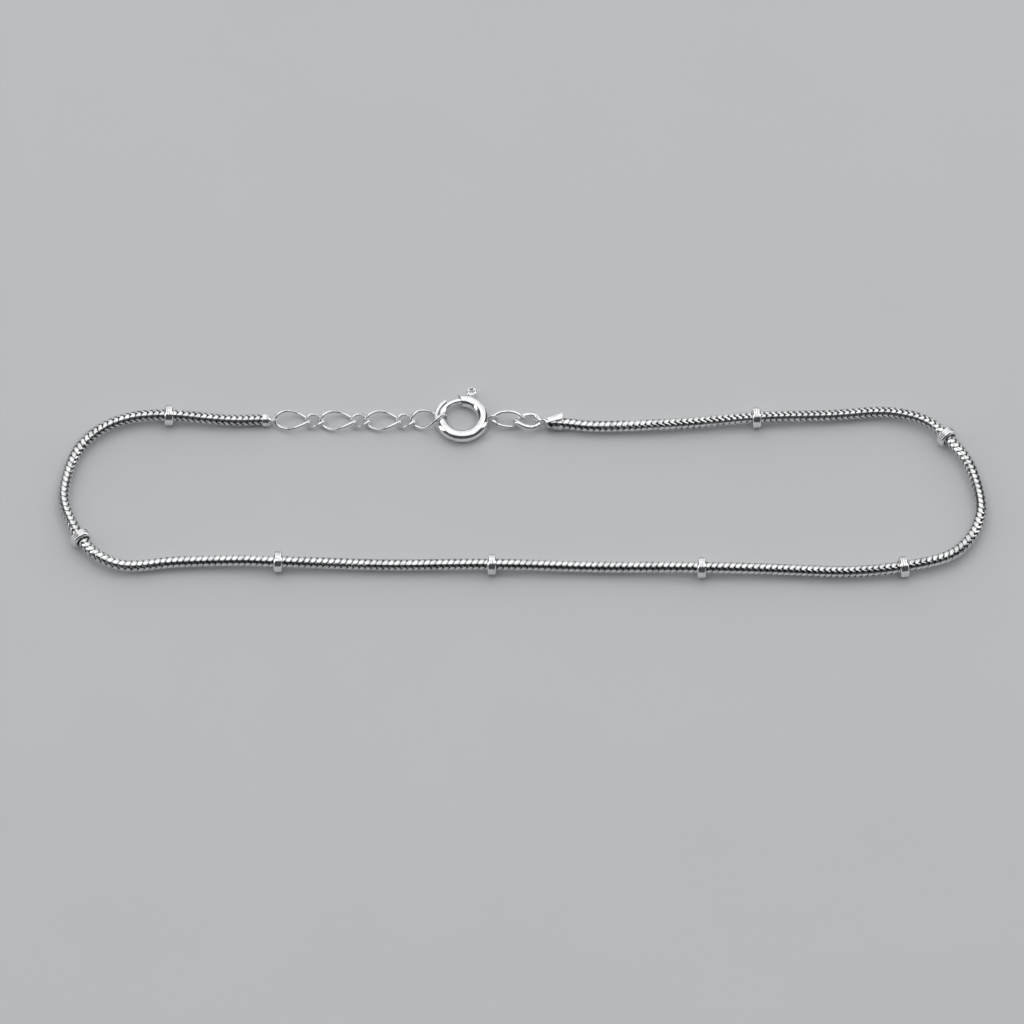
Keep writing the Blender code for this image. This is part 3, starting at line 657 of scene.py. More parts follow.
@dataclass
class SnakeChain:
    """The round snake chain: a skin pressed into slanting bands with deep joints between them."""

    route: ChainRoute
    pitch: float = 0.62 * MM
    half_band: float = 0.268 * MM
    wave: float = 0.19 * MM
    quarters: int = 4
    twist: tuple[TwistStop, ...] = (
        TwistStop(0.0, -36.0), TwistStop(14.0, -36.0), TwistStop(24.0, -45.0), TwistStop(32.0, -28.0),
        TwistStop(43.0, -2.0), TwistStop(53.0, 0.0), TwistStop(65.0, -15.0), TwistStop(75.0, -8.0),
        TwistStop(87.0, 2.0), TwistStop(97.0, 4.0), TwistStop(106.0, 11.0), TwistStop(113.0, 19.0),
        TwistStop(119.0, 16.0), TwistStop(131.0, -29.0), TwistStop(153.0, -26.0), TwistStop(160.0, -19.0),
        TwistStop(168.0, 0.0), TwistStop(178.0, 34.0), TwistStop(190.0, 34.0),
    )
    lines: tuple[WaveLine, ...] = (
        WaveLine(-1.0, 0.66, 0.39), WaveLine(-0.30, 1.0, 0.46), WaveLine(0.36, 1.0, 0.46),
        WaveLine(1.0, 0.70, 0.39),
    )
    # The bands' front and rear edges get a little painted shade, their crowns none.
    rings: tuple[BandRing, ...] = (
        BandRing(-1.0, 0.578, 0.10), BandRing(-0.30, 0.604, 0.0), BandRing(1.0, 0.580, 0.12),
    )
    crown_ring: int = 1
    corner_width: float = 0.9
    # Extra painted shade on the band edges along the narrow corner lines.
    corner_recess: float = 0.35

    def twist_at(self, middle: float) -> float:
        """Return the bands' turn in degrees at a distance along the way."""
        for near, far in zip(self.twist, self.twist[1:]):
            if middle <= far.along * MM:
                break
        share = max(0.0, (middle / MM - near.along) / (far.along - near.along))
        return near.degrees + (far.degrees - near.degrees) * share * share * (3.0 - 2.0 * share)

    def spot(self, middle: float, ring: int, line: int) -> tuple[Vector, float]:
        """Return where a ring crosses a line, and how much painted shade the silver gets there.

        Args:
            middle: The band's place along the way.
            ring: The ring's number, the last being the joint behind the band.
            line: The line's number round the chain.

        Returns:
            The point and its recess value.
        """
        wave = self.lines[line % len(self.lines)]
        corner = wave.width < self.corner_width
        if ring < len(self.rings):
            row = self.rings[ring]
            ahead, radius, recess = row.along * self.half_band * wave.width, row.radius, row.recess
            if corner and ring != self.crown_ring:
                recess += self.corner_recess
        else:
            # The joint between two bands gets the full painted shade.
            ahead, radius, recess = self.pitch / 2, wave.joint, 1.0
        mark = middle + ahead + self.wave * wave.swing
        along = self.route.direction(mark)
        angle = math.tau * line / (len(self.lines) * self.quarters) + math.radians(self.twist_at(middle))
        place = frame_matrix(self.route.point(mark) + ROOT_SHIFT, along, TOWARD_CAMERA)
        return place @ (Vector((0.0, math.sin(angle), math.cos(angle))) * radius * MM), recess

    def build(self) -> bpy.types.Object:
        """Press the skin into bands along the whole way and return the chain."""
        swing = self.wave + self.pitch / 2
        first = -self.route.cap_depth + self.route.end_clearance + swing
        last = self.route.length() + self.route.crimp_depth - self.route.end_clearance - swing
        bands = round((last - first) / self.pitch) + 1
        step = (last - first) / (bands - 1)
        rows = len(self.rings) + 1
        lines = len(self.lines) * self.quarters
        chain = bmesh.new()
        bmesh.ops.create_grid(chain, x_segments=bands * rows - 1, y_segments=lines, size=0.5)
        layer = chain.verts.layers.float.new(RECESS)
        for vert in chain.verts:
            number = round((vert.co.x + 0.5) * (bands * rows - 1))
            line = round((vert.co.y + 0.5) * lines)
            vert.co, vert[layer] = self.spot(first + step * (number // rows), number % rows, line)
        bmesh.ops.remove_doubles(chain, verts=chain.verts, dist=WELD)
        for rim in open_rims(chain):
            bmesh.ops.contextual_create(chain, geom=rim)
        bmesh.ops.recalc_face_normals(chain, faces=chain.faces)
        return Piece("snake_chain", chain, CHAIN_SILVER, Slot.CHAIN, sharp=50.0).place()


@dataclass
class StopperBead:
    """A turned, crowned bead with a middle ridge between two fine grooves."""

    # Half the bead's section, as rows of the way along and the radius in millimetres.
    half: tuple[tuple[float, float], ...] = (
        (0.000, 1.128), (0.070, 1.126), (0.100, 1.098), (0.130, 1.098), (0.160, 1.122), (0.270, 1.110),
        (0.340, 1.082), (0.400, 1.035), (0.445, 0.965), (0.470, 0.880), (0.475, 0.800), (0.465, 0.740),
        (0.430, 0.690), (0.300, 0.652),
    )
    sides: int = 48
    ridge_half: float = 0.16
    ridge_foot: float = 1.11
    # The painted shade in the grooves, and where and how fast the painted shade round the hole fades in.
    groove_recess: float = 0.35
    mouth_radius: float = 0.82
    mouth_fade: float = 0.10

    def build(self, number: int, centre: Vector, along: Vector) -> bpy.types.Object:
        """Make one bead on the chain.

        Args:
            number: The bead's number from the end cap.
            centre: Its centre.
            along: The chain's direction there.

        Returns:
            The bead.
        """
        right = [(along_x * MM, radius * MM) for along_x, radius in self.half]
        left = [(-along_x, radius) for along_x, radius in reversed(right[1:])]
        shell = spun(left + right, self.sides)
        layer = shell.verts.layers.float.new(RECESS)
        # Painted shade in the two grooves beside the ridge, and round the hole where the chain goes in.
        for vert in shell.verts:
            radius = math.hypot(vert.co.y, vert.co.z) / MM
            if abs(vert.co.x) < self.ridge_half * MM:
                vert[layer] = self.groove_recess if radius < self.ridge_foot else 0.0
            else:
                vert[layer] = held((self.mouth_radius - radius) / self.mouth_fade)
        bmesh.ops.transform(shell, matrix=frame_matrix(centre + ROOT_SHIFT, along, UP), verts=shell.verts)
        return Piece(f"bead_{number}", shell, BEAD_SILVER, Slot.BEADS, sharp=60.0).place()


# ---------------------------------------------------------------- links


@dataclass
class WireLink:
    """An oval wire link between two end points, twisted by three rolls about its long axis."""

    name: str
    start: Vector
    end: Vector
    width: float
    wire: float
    rolls: tuple[float, float, float]
    steps: int = 64
    sides: int = 14
    seam: float = NO_SEAM
    seam_pinch: float = 0.35
    pinch_spread: float = 0.04
    # How far the painted shade along the seam spreads.
    seam_spread: float = 0.06
    hammer: float = 0.0
    hammer_size: float = 0.28 * MM
    thin: float = 0.1
    nudge: float = 0.01

    def centre_line(self, angle: float) -> Vector:
        """Return the wire's centre at an angle round the link, in the link's frame."""
        share = math.cos(angle)
        half_length = (self.end - self.start).length / 2
        bend = (self.rolls[0] + self.rolls[2]) / 2 - self.rolls[1]
        turn = self.rolls[1] + (self.rolls[2] - self.rolls[0]) / 2 * share + bend * share * share
        roll = math.radians(turn)
        side = (self.width - self.wire) / 2 * math.sin(angle)
        return Vector((half_length * share, side * math.cos(roll), side * math.sin(roll)))

    def build(self) -> bpy.types.Object:
        """Bend a closed ring of wire into the link and return it."""
        shell = torus(1.0, self.thin, self.thin, self.steps, self.sides)
        layer = shell.verts.layers.float.new(RECESS)
        for vert in shell.verts:
            angle = math.atan2(vert.co.y, vert.co.x) % math.tau
            outward = (math.hypot(vert.co.x, vert.co.y) - 1.0) / self.thin
            upward = vert.co.z / self.thin
            middle = self.centre_line(angle)
            step = self.centre_line(angle + self.nudge) - self.centre_line(angle - self.nudge)
            ahead = step.normalized()
            across = (middle - ahead * middle.dot(ahead)).normalized()
            top = ahead.cross(across).normalized()
            gap = abs(angle - self.seam)
            pinch = 1.0 - self.seam_pinch * math.exp(-((gap / self.pinch_spread) ** 2))
            # Painted shade along the seam where the wire's two ends meet.
            vert[layer] = math.exp(-((gap / self.seam_spread) ** 2))
            skin = middle + (across * outward + top * upward) * (self.wire / 2)
            pinch *= 1.0 + self.hammer * noise.noise(skin / self.hammer_size)
            vert.co = middle + (across * outward + top * upward) * (self.wire / 2 * pinch)
        bmesh.ops.recalc_face_normals(shell, faces=shell.faces)
        place = frame_matrix((self.start + self.end) / 2 + ROOT_SHIFT, self.end - self.start, UP)
        bmesh.ops.transform(shell, matrix=place, verts=shell.verts)
        return Piece(self.name, shell, LINK_SILVER, Slot.LINKS, sharp=80.0).place()


@dataclass
class Extension:
    """Long and short twisted links in turn, from the end cap to the spring ring."""

    start_x: float = -25.70 * MM
    line_y: float = 8.84 * MM
    line_height: float = 0.62 * MM
    cap_height: float = 0.80 * MM
    wire: float = 0.36 * MM
    clearance: float = 0.06 * MM
    long_size: tuple[float, float] = (4.06 * MM, 2.45 * MM)
    short_size: tuple[float, float] = (2.24 * MM, 1.78 * MM)
    twist: float = 45.0
    last_rise: float = 0.38 * MM
    last_slant: float = 0.33 * MM
    last_rolls: tuple[float, float, float] = (45.0, -12.6, -96.0)
    first_seam: float = 4.56

    def links(self) -> list[WireLink]:
        """Return the seven links in turn."""
        rows = []
        for pair in range(1, 4):
            rows.append((f"long_link_{pair}", self.long_size))
            rows.append((f"short_link_{pair}", self.short_size))
        rows.append(("long_link_4", self.long_size))
        left = self.start_x
        links = []
        for number, (name, (length, width)) in enumerate(rows):
            right = left + length - self.wire
            start = Vector((left, self.line_y, self.line_height if number else self.cap_height))
            end = Vector((right, self.line_y, self.line_height))
            rolls = (self.twist, 0.0, -self.twist)
            if number == len(rows) - 1:
                end += Vector((0.0, self.last_slant, self.last_rise))
                rolls = self.last_rolls
            seam = NO_SEAM if number else self.first_seam
            links.append(WireLink(name, start, end, width, self.wire, rolls, seam=seam))
            left = right - self.wire - self.clearance
        return links

    def build(self) -> list[bpy.types.Object]:
        """Make every link and return them."""
        return [link.build() for link in self.links()]


@dataclass
class JumpLinks:
    """The clasp's oval link and the thicker oval link that hooks into the crimp end."""

    clasp_start: Vector
    clasp_rolls: tuple[float, float, float] = (0.0, 30.0, 56.0)
    clasp_length: float = 3.56 * MM
    clasp_size: tuple[float, float] = (2.00 * MM, 0.40 * MM)
    crimp_eye: Vector = field(default_factory=lambda: Vector((1.902, 8.51, 0.90)) * MM)
    crimp_rolls: tuple[float, float, float] = (-42.0, -16.0, 0.0)
    crimp_size: tuple[float, float] = (2.45 * MM, 0.54 * MM)
    line_y: float = 8.73 * MM
    overlap: float = 0.90 * MM
    crimp_height: float = 0.90 * MM
    rise: float = 0.02 * MM
    # Each link's seam angle in radians, and how uneven its hammered skin is.
    clasp_skin: tuple[float, float] = (3.95, 0.10)
    crimp_skin: tuple[float, float] = (2.24, 0.12)

    def build(self) -> list[bpy.types.Object]:
        """Make both links and return them."""
        end_x = self.clasp_start.x + self.clasp_length - self.clasp_size[1]
        clasp_end = Vector((end_x, self.line_y, self.crimp_height + self.rise))
        seam, hammer = self.clasp_skin
        clasp = WireLink(
            "clasp_link", self.clasp_start, clasp_end, *self.clasp_size, self.clasp_rolls, seam=seam,
            hammer=hammer,
        )
        crimp_start = Vector((end_x - self.overlap, self.line_y, self.crimp_height))
        seam, hammer = self.crimp_skin
        crimp = WireLink(
            "crimp_link", crimp_start, self.crimp_eye, *self.crimp_size, self.crimp_rolls, seam=seam,
            hammer=hammer,
        )
        return [clasp.build(), crimp.build()]


# ---------------------------------------------------------------- spring ring


@dataclass
class SpringRing:
    """The spring ring: a hollow C tube with a slot, a guard tongue and an eye, and its sliding gate."""

    centre: Vector = field(default_factory=lambda: Vector((-6.198, 8.978, 0.82)) * MM)
    radius: float = 2.20 * MM
    tube: float = 0.625 * MM
    bore: float = 0.400 * MM
    mouth: float = 98.0
    receiver: float = 190.0
    mouth_tilt: float = 9.0
    lip: float = 1.1
    slot_start: float = 17.0
    slot_end: float = 79.0
    slot_half: float = 0.22 * MM
    gate: float = 0.31 * MM
    gate_tail: float = 60.0
    gate_tip: float = 196.0
    post_angle: float = 73.0
    post: float = 0.16 * MM
    button_distance: float = 3.43 * MM
    eye_wire: float = 0.15 * MM
    eye_radius: float = 0.44 * MM
    wall: float = 0.225 * MM
    tongue_tip: float = 129.0
    tongue_root: float = 204.0
    # The tongue's ridged section, as rows of the radius and the height in millimetres.
    tongue_section: tuple[tuple[float, float], ...] = (
        (2.555, -0.22), (2.835, -0.22), (2.865, -0.17), (2.865, 0.17), (2.830, 0.22), (2.790, 0.22),
        (2.760, 0.15), (2.730, 0.22), (2.670, 0.22), (2.640, 0.15), (2.610, 0.22), (2.570, 0.22), (2.555, 0.19),
    )
    tab_half_angle: float = 7.5
    tab_foot: float = 2.905 * MM
    tab_thickness: float = 0.30 * MM
    tab_bevel: float = 0.05 * MM
    tube_steps: int = 110
    eye_steps: int = 44
    eye_sides: int = 16
    button_sides: int = 40
    tube_sides: int = 40
    bore_sides: int = 24
    end_reach: float = 3.0
    tongue_steps: int = 34
    tongue_point: float = 0.7
    tongue_bulge: float = 0.06 * MM
    tip_reach: float = 0.5
    link_gap: float = 0.03 * MM
    tilt_start: float = 80.0
    bore_reach: float = 1.05
    # The painted shade inside the bore and on the tube's cut ends.
    dark: float = 0.8
    # The painted shade where the eye joins the tube, and how fast it fades with each millimetre.
    eye_joint_shade: tuple[float, float] = (0.5, 1.6)
    gate_steps: int = 56
    gate_sides: int = 24
    post_flare: float = 1.25
    button_rim: float = 0.54
    button_top: float = 0.26
    # The button's painted shade ring in its dimple: its depth, and its radius and spread in millimetres.
    dimple: tuple[float, float, float] = (0.85, 0.25, 0.06)

    def eye_distance(self) -> float:
        """Return how far the eye's centre lies from the ring's."""
        return self.radius + self.tube - self.wall + self.eye_wire + self.eye_radius

    def link_start(self) -> Vector:
        """Return where the clasp link's first end lies, inside the eye."""
        return self.centre + Vector((self.eye_distance() + self.link_gap, 0.0, 0.0))

    def tube_shell(self) -> bmesh.types.BMesh:
        """Make the hollow C tube with its rims rolled and its slot cut through the outer wall."""
        last = self.mouth + 360.0
        shell = swept_arc(self.radius, self.tube, self.receiver, last, self.tube_sides, self.tube_steps)
        inner = swept_arc(self.radius, self.bore, self.receiver, last, self.bore_sides, self.tube_steps)
        add_shell(shell, inner, Matrix.Identity(4))
        for height in (self.slot_half, -self.slot_half):
            cut(shell, UP * height, UP)
        for angle in (self.slot_start, self.slot_end, self.mouth - self.lip):
            cut(shell, Vector(), polar(1.0, angle + 90.0))
        gone = []
        for face in shell.faces:
            spot = face.calc_center_median()
            beyond = math.hypot(spot.x, spot.y) > self.radius
            if beyond and abs(spot.z) < self.slot_half and self.slot_start < bearing(spot) < self.slot_end:
                gone.append(face)
        bmesh.ops.delete(shell, geom=gone, context="FACES")
        groups: dict[str, list[bmesh.types.BMEdge]] = {"receiver": [], "mouth": [], "slot": []}
        for rim in open_rims(shell):
            angle = rim_bearing(rim)
            if abs(angle - self.receiver) < self.end_reach:
                groups["receiver"] += rim
            elif abs(angle - self.mouth) < self.end_reach:
                groups["mouth"] += rim
            else:
                groups["slot"] += rim
        for edges in groups.values():
            bmesh.ops.bridge_loops(shell, edges=edges)
        bmesh.ops.recalc_face_normals(shell, faces=shell.faces)
        return shell

    def tongue_shell(self) -> bmesh.types.BMesh:
        """Make the ridged guard tongue that runs from the tube's lower end outside the gate."""
        shell = bmesh.new()
        verts = [
            shell.verts.new(polar(radius * MM, self.tongue_root) + UP * height * MM)
            for radius, height in self.tongue_section
        ]
        edges = [shell.edges.new(pair) for pair in zip(verts, verts[1:] + verts[:1])]
        bmesh.ops.contextual_create(shell, geom=edges)
        bmesh.ops.spin(
            shell, geom=verts + edges, cent=(0.0, 0.0, 0.0), axis=(0.0, 0.0, 1.0), dvec=(0.0, 0.0, 0.0),
            angle=math.radians(self.tongue_tip - self.tongue_root), steps=self.tongue_steps,
            use_merge=False, use_duplicate=False,
        )
        tip = [vert for vert in shell.verts if abs(bearing(vert.co) - self.tongue_tip) < self.tip_reach]
        tip_edges = [
            edge for edge in shell.edges if edge.is_boundary and all(vert in tip for vert in edge.verts)
        ]
        grown = bmesh.ops.extrude_edge_only(shell, edges=tip_edges)["geom"]
        ends = [part for part in grown if isinstance(part, bmesh.types.BMVert)]
        middle = sum((vert.co for vert in ends), Vector()) / len(ends)
        bmesh.ops.scale(
            shell, vec=(self.tongue_point,) * 3, space=Matrix.Translation(-middle), verts=ends
        )
        bmesh.ops.translate(shell, vec=polar(self.tongue_bulge, self.tongue_tip - 90.0), verts=ends)
        rim = [edge for edge in shell.edges if edge.is_boundary and all(vert in ends for vert in edge.verts)]
        bmesh.ops.contextual_create(shell, geom=rim)
        bmesh.ops.recalc_face_normals(shell, faces=shell.faces)
        return shell

    def build_body(self) -> bpy.types.Object:
        """Make the ring's fixed part as one soldered piece and return it."""
        shell = self.tube_shell()
        add_shell(shell, self.tongue_shell(), Matrix.Identity(4))
        eye = torus(self.eye_radius, self.eye_wire, self.eye_wire, self.eye_steps, self.eye_sides)
        upright = Matrix.Rotation(math.pi / 2, 4, "X")
        add_shell(shell, eye, Matrix.Translation((self.eye_distance(), 0.0, 0.0)) @ upright)
        layer = shell.verts.layers.float.new(RECESS)
        for vert in shell.verts:
            away = math.hypot(vert.co.x, vert.co.y)
            angle = bearing(vert.co)
            # Painted shade inside the bore, on the cut ends of the tube, and fading out from where the eye
            # joins the tube.
            inside = math.hypot(away - self.radius, vert.co.z) < self.bore * self.bore_reach
            joint = (vert.co.xy - Vector((self.radius + self.tube, 0.0))).length / MM
            ends = min(abs(angle - self.mouth), abs(angle - self.receiver)) < self.tip_reach
            vert[layer] = self.dark if inside or ends else max(0.0, self.eye_joint_shade[0] - joint * self.eye_joint_shade[1])
            if self.tilt_start < angle < self.mouth + 1.0:
                share = (angle - self.tilt_start) / (self.mouth - self.tilt_start)
                share *= (self.radius + self.tube - away) / (2 * self.tube)
                vert.co = polar(away, angle - self.mouth_tilt * share) + UP * vert.co.z
        bmesh.ops.translate(shell, vec=self.centre + ROOT_SHIFT, verts=shell.verts)
        return Piece("clasp_body", shell, CLASP_SILVER, Slot.FITTINGS, sharp=38.0).place()

    def build_trigger(self) -> bpy.types.Object:
        """Make the gate wire with its post and dimpled button and return it."""
        shell = swept_arc(
            self.radius, self.gate, self.gate_tail, self.gate_tip, self.gate_sides, self.gate_steps
        )
        for rim in open_rims(shell):
            angle = rim_bearing(rim)
            turn = 90.0 if abs(angle - self.gate_tip) < self.end_reach else -90.0
            dome_end(shell, rim, polar(1.0, angle + turn), self.gate)
        bmesh.ops.recalc_face_normals(shell, faces=shell.faces)
        out = polar(1.0, self.post_angle)
        post = bmesh.new()
        reach = self.button_distance - self.radius
        bmesh.ops.create_cone(
            post, cap_ends=True, segments=20, radius1=self.post, radius2=self.post * self.post_flare,
            depth=reach,
        )
        middle = out * (self.radius + reach / 2)
        add_shell(shell, post, frame_matrix(middle, out.cross(UP), out))
        tab = bmesh.new()
        bmesh.ops.create_cube(tab, size=1.0)
        depth = self.button_distance - self.tab_foot
        width = 2 * self.tab_foot * math.sin(math.radians(self.tab_half_angle))
        bmesh.ops.scale(tab, vec=(depth, width, self.tab_thickness), verts=tab.verts)
        bmesh.ops.bevel(
            tab, geom=tab.verts[:] + tab.edges[:], offset=self.tab_bevel, affect="EDGES", segments=2,
            profile=0.5, material=-1,
        )
        add_shell(shell, tab, frame_matrix(out * (self.tab_foot + depth / 2), out, UP))
        rim, top = self.button_rim, self.button_top
        section = [
            (top - 0.02, 0.0), (top - 0.03, 0.07), (top - 0.06, 0.12), (top - 0.11, 0.155),
            (top - 0.12, 0.20), (top - 0.10, 0.25), (top - 0.03, 0.31), (top, 0.36), (top - 0.01, 0.43),
            (top - 0.04, 0.50),
            (top - 0.10, rim), (0.10 - top, rim), (0.03 - top, 0.505), (-top, 0.44), (-top, 0.0),
        ]
        outline = [(along * MM, radius * MM) for along, radius in section]
        button = spun(outline, self.button_sides, closed=False)
        place = Matrix.Translation(out * self.button_distance) @ Matrix.Rotation(-math.pi / 2, 4, "Y")
        add_shell(shell, button, place)
        layer = shell.verts.layers.float.new(RECESS)
        # Painted shade ring in the dimple on the button's top.
        depth, ring, spread = self.dimple
        for vert in shell.verts:
            away = (vert.co - out * self.button_distance).length / MM
            vert[layer] = depth * math.exp(-(((away - ring) / spread) ** 2)) if vert.co.z > 0.0 else 0.0
        bmesh.ops.translate(shell, vec=self.centre + ROOT_SHIFT, verts=shell.verts)
        return Piece(
            "clasp_trigger", shell, CLASP_SILVER, Slot.FITTINGS, body=TRIGGER_BODY, sharp=38.0
        ).place()


# ---------------------------------------------------------------- end fittings


@dataclass
class PinchedNose:
    """A plate with an eye that swells into the round mouth of a cup or sleeve, along X."""

    length: float
    eye_hole: float
    rim: float
    thickness: float
    mouth: float
    sides: int = 32
    eye_steps: int = 40
    eye_sides: int = 16
    # Each row's place along the nose, and how much of the mouth's size is left across and up.
    rows: tuple[tuple[float, float, float], ...] = (
        (0.90, 0.97, 0.97), (0.78, 0.80, 0.80), (0.64, 0.48, 0.52), (0.50, 0.24, 0.26),
        (0.36, 0.08, 0.08), (0.22, 0.0, 0.0), (0.10, 0.0, -0.03),
    )

    def build(self) -> bmesh.types.BMesh:
        """Draw the nose down from its mouth to the plate and set the eye's ring at its tip.

        Returns:
            The nose's shell, its eye at the origin.
        """
        tip = self.eye_hole + self.rim
        shell = bmesh.new()
        lay = Matrix.Translation((self.length, 0.0, 0.0)) @ Matrix.Rotation(math.pi / 2, 4, "Y")
        bmesh.ops.create_circle(shell, cap_ends=True, radius=self.mouth, segments=self.sides, matrix=lay)
        rim = shell.edges[:]
        half_y = half_z = self.mouth
        at = self.length
        for along, share_y, share_z in self.rows:
            verts, rim = grow_rim(shell, rim)
            next_y = self.thickness / 2 + (self.mouth - self.thickness / 2) * share_y
            next_z = tip + (self.mouth - tip) * share_z
            bmesh.ops.scale(shell, vec=(1.0, next_y / half_y, next_z / half_z), verts=verts)
            bmesh.ops.translate(shell, vec=(along * self.length - at, 0.0, 0.0), verts=verts)
            half_y, half_z, at = next_y, next_z, along * self.length
        eye = torus(
            self.eye_hole + self.rim / 2, self.rim / 2, self.thickness / 2, self.eye_steps, self.eye_sides
        )
        bmesh.ops.contextual_create(shell, geom=rim)
        bmesh.ops.recalc_face_normals(shell, faces=shell.faces)
        add_shell(shell, eye, Matrix.Rotation(math.pi / 2, 4, "X"))
        return shell


@dataclass
class EndCap:
    """The turned cup on the chain's left end."""

    eye: Vector = field(default_factory=lambda: Vector((-25.77, 8.84, 0.80)) * MM)
    roll: float = 45.0
    nose: float = 0.62
    cup: float = 0.58
    bore: float = 0.64
    rim: float = 0.73
    # The eye's hole, the rim round it and its thickness.
    eye_size: tuple[float, float, float] = (0.32 * MM, 0.11 * MM, 0.20 * MM)
    # Where the painted shade in the turned groove sits behind the cup's foot, and its half width, in
    # millimetres.
    groove: tuple[float, float] = (0.185, 0.02)
    skin: float = 0.03
    # The strength of the painted shade in the groove and inside the cup.
    recess_shade: float = 0.7
    sides: int = 48

    def build(self) -> bpy.types.Object:
        """Make the cup with its pinched nose and eye and return it."""
        base, mouth = self.nose - 0.06, self.nose + self.cup
        section = [
            (base, self.bore), (base, self.rim - 0.05), (base + 0.04, self.rim), (base + 0.14, self.rim),
            (base + 0.17, self.rim - 0.03), (base + 0.20, self.rim - 0.03), (base + 0.23, self.rim),
            (mouth - 0.15, self.rim), (mouth - 0.10, self.rim - 0.012), (mouth - 0.03, self.rim),
            (mouth, self.rim - 0.03), (mouth, self.bore + 0.02), (mouth - 0.03, self.bore),
        ]
        shell = spun([(along * MM, radius * MM) for along, radius in section], self.sides)
        nose = PinchedNose(self.nose * MM, *self.eye_size, (self.rim - 0.01) * MM)
        add_shell(shell, nose.build(), Matrix.Identity(4))
        layer = shell.verts.layers.float.new(RECESS)
        for vert in shell.verts:
            radius = math.hypot(vert.co.y, vert.co.z) / MM
            outside = radius > self.bore + self.skin
            groove = outside and abs(vert.co.x / MM - base - self.groove[0]) < self.groove[1]
            inside = radius < self.bore + self.skin and vert.co.x > 0.9 * self.nose * MM
            # Painted shade in the turned groove and inside the cup.
            vert[layer] = self.recess_shade if groove or inside else 0.0
        place = Matrix.Translation(self.eye + ROOT_SHIFT) @ Matrix.Rotation(math.pi, 4, "Z")
        place = place @ Matrix.Rotation(-math.radians(self.roll), 4, "X")
        bmesh.ops.transform(shell, matrix=place, verts=shell.verts)
        return Piece("end_cap", shell, CLASP_SILVER, Slot.FITTINGS, sharp=36.0).place()


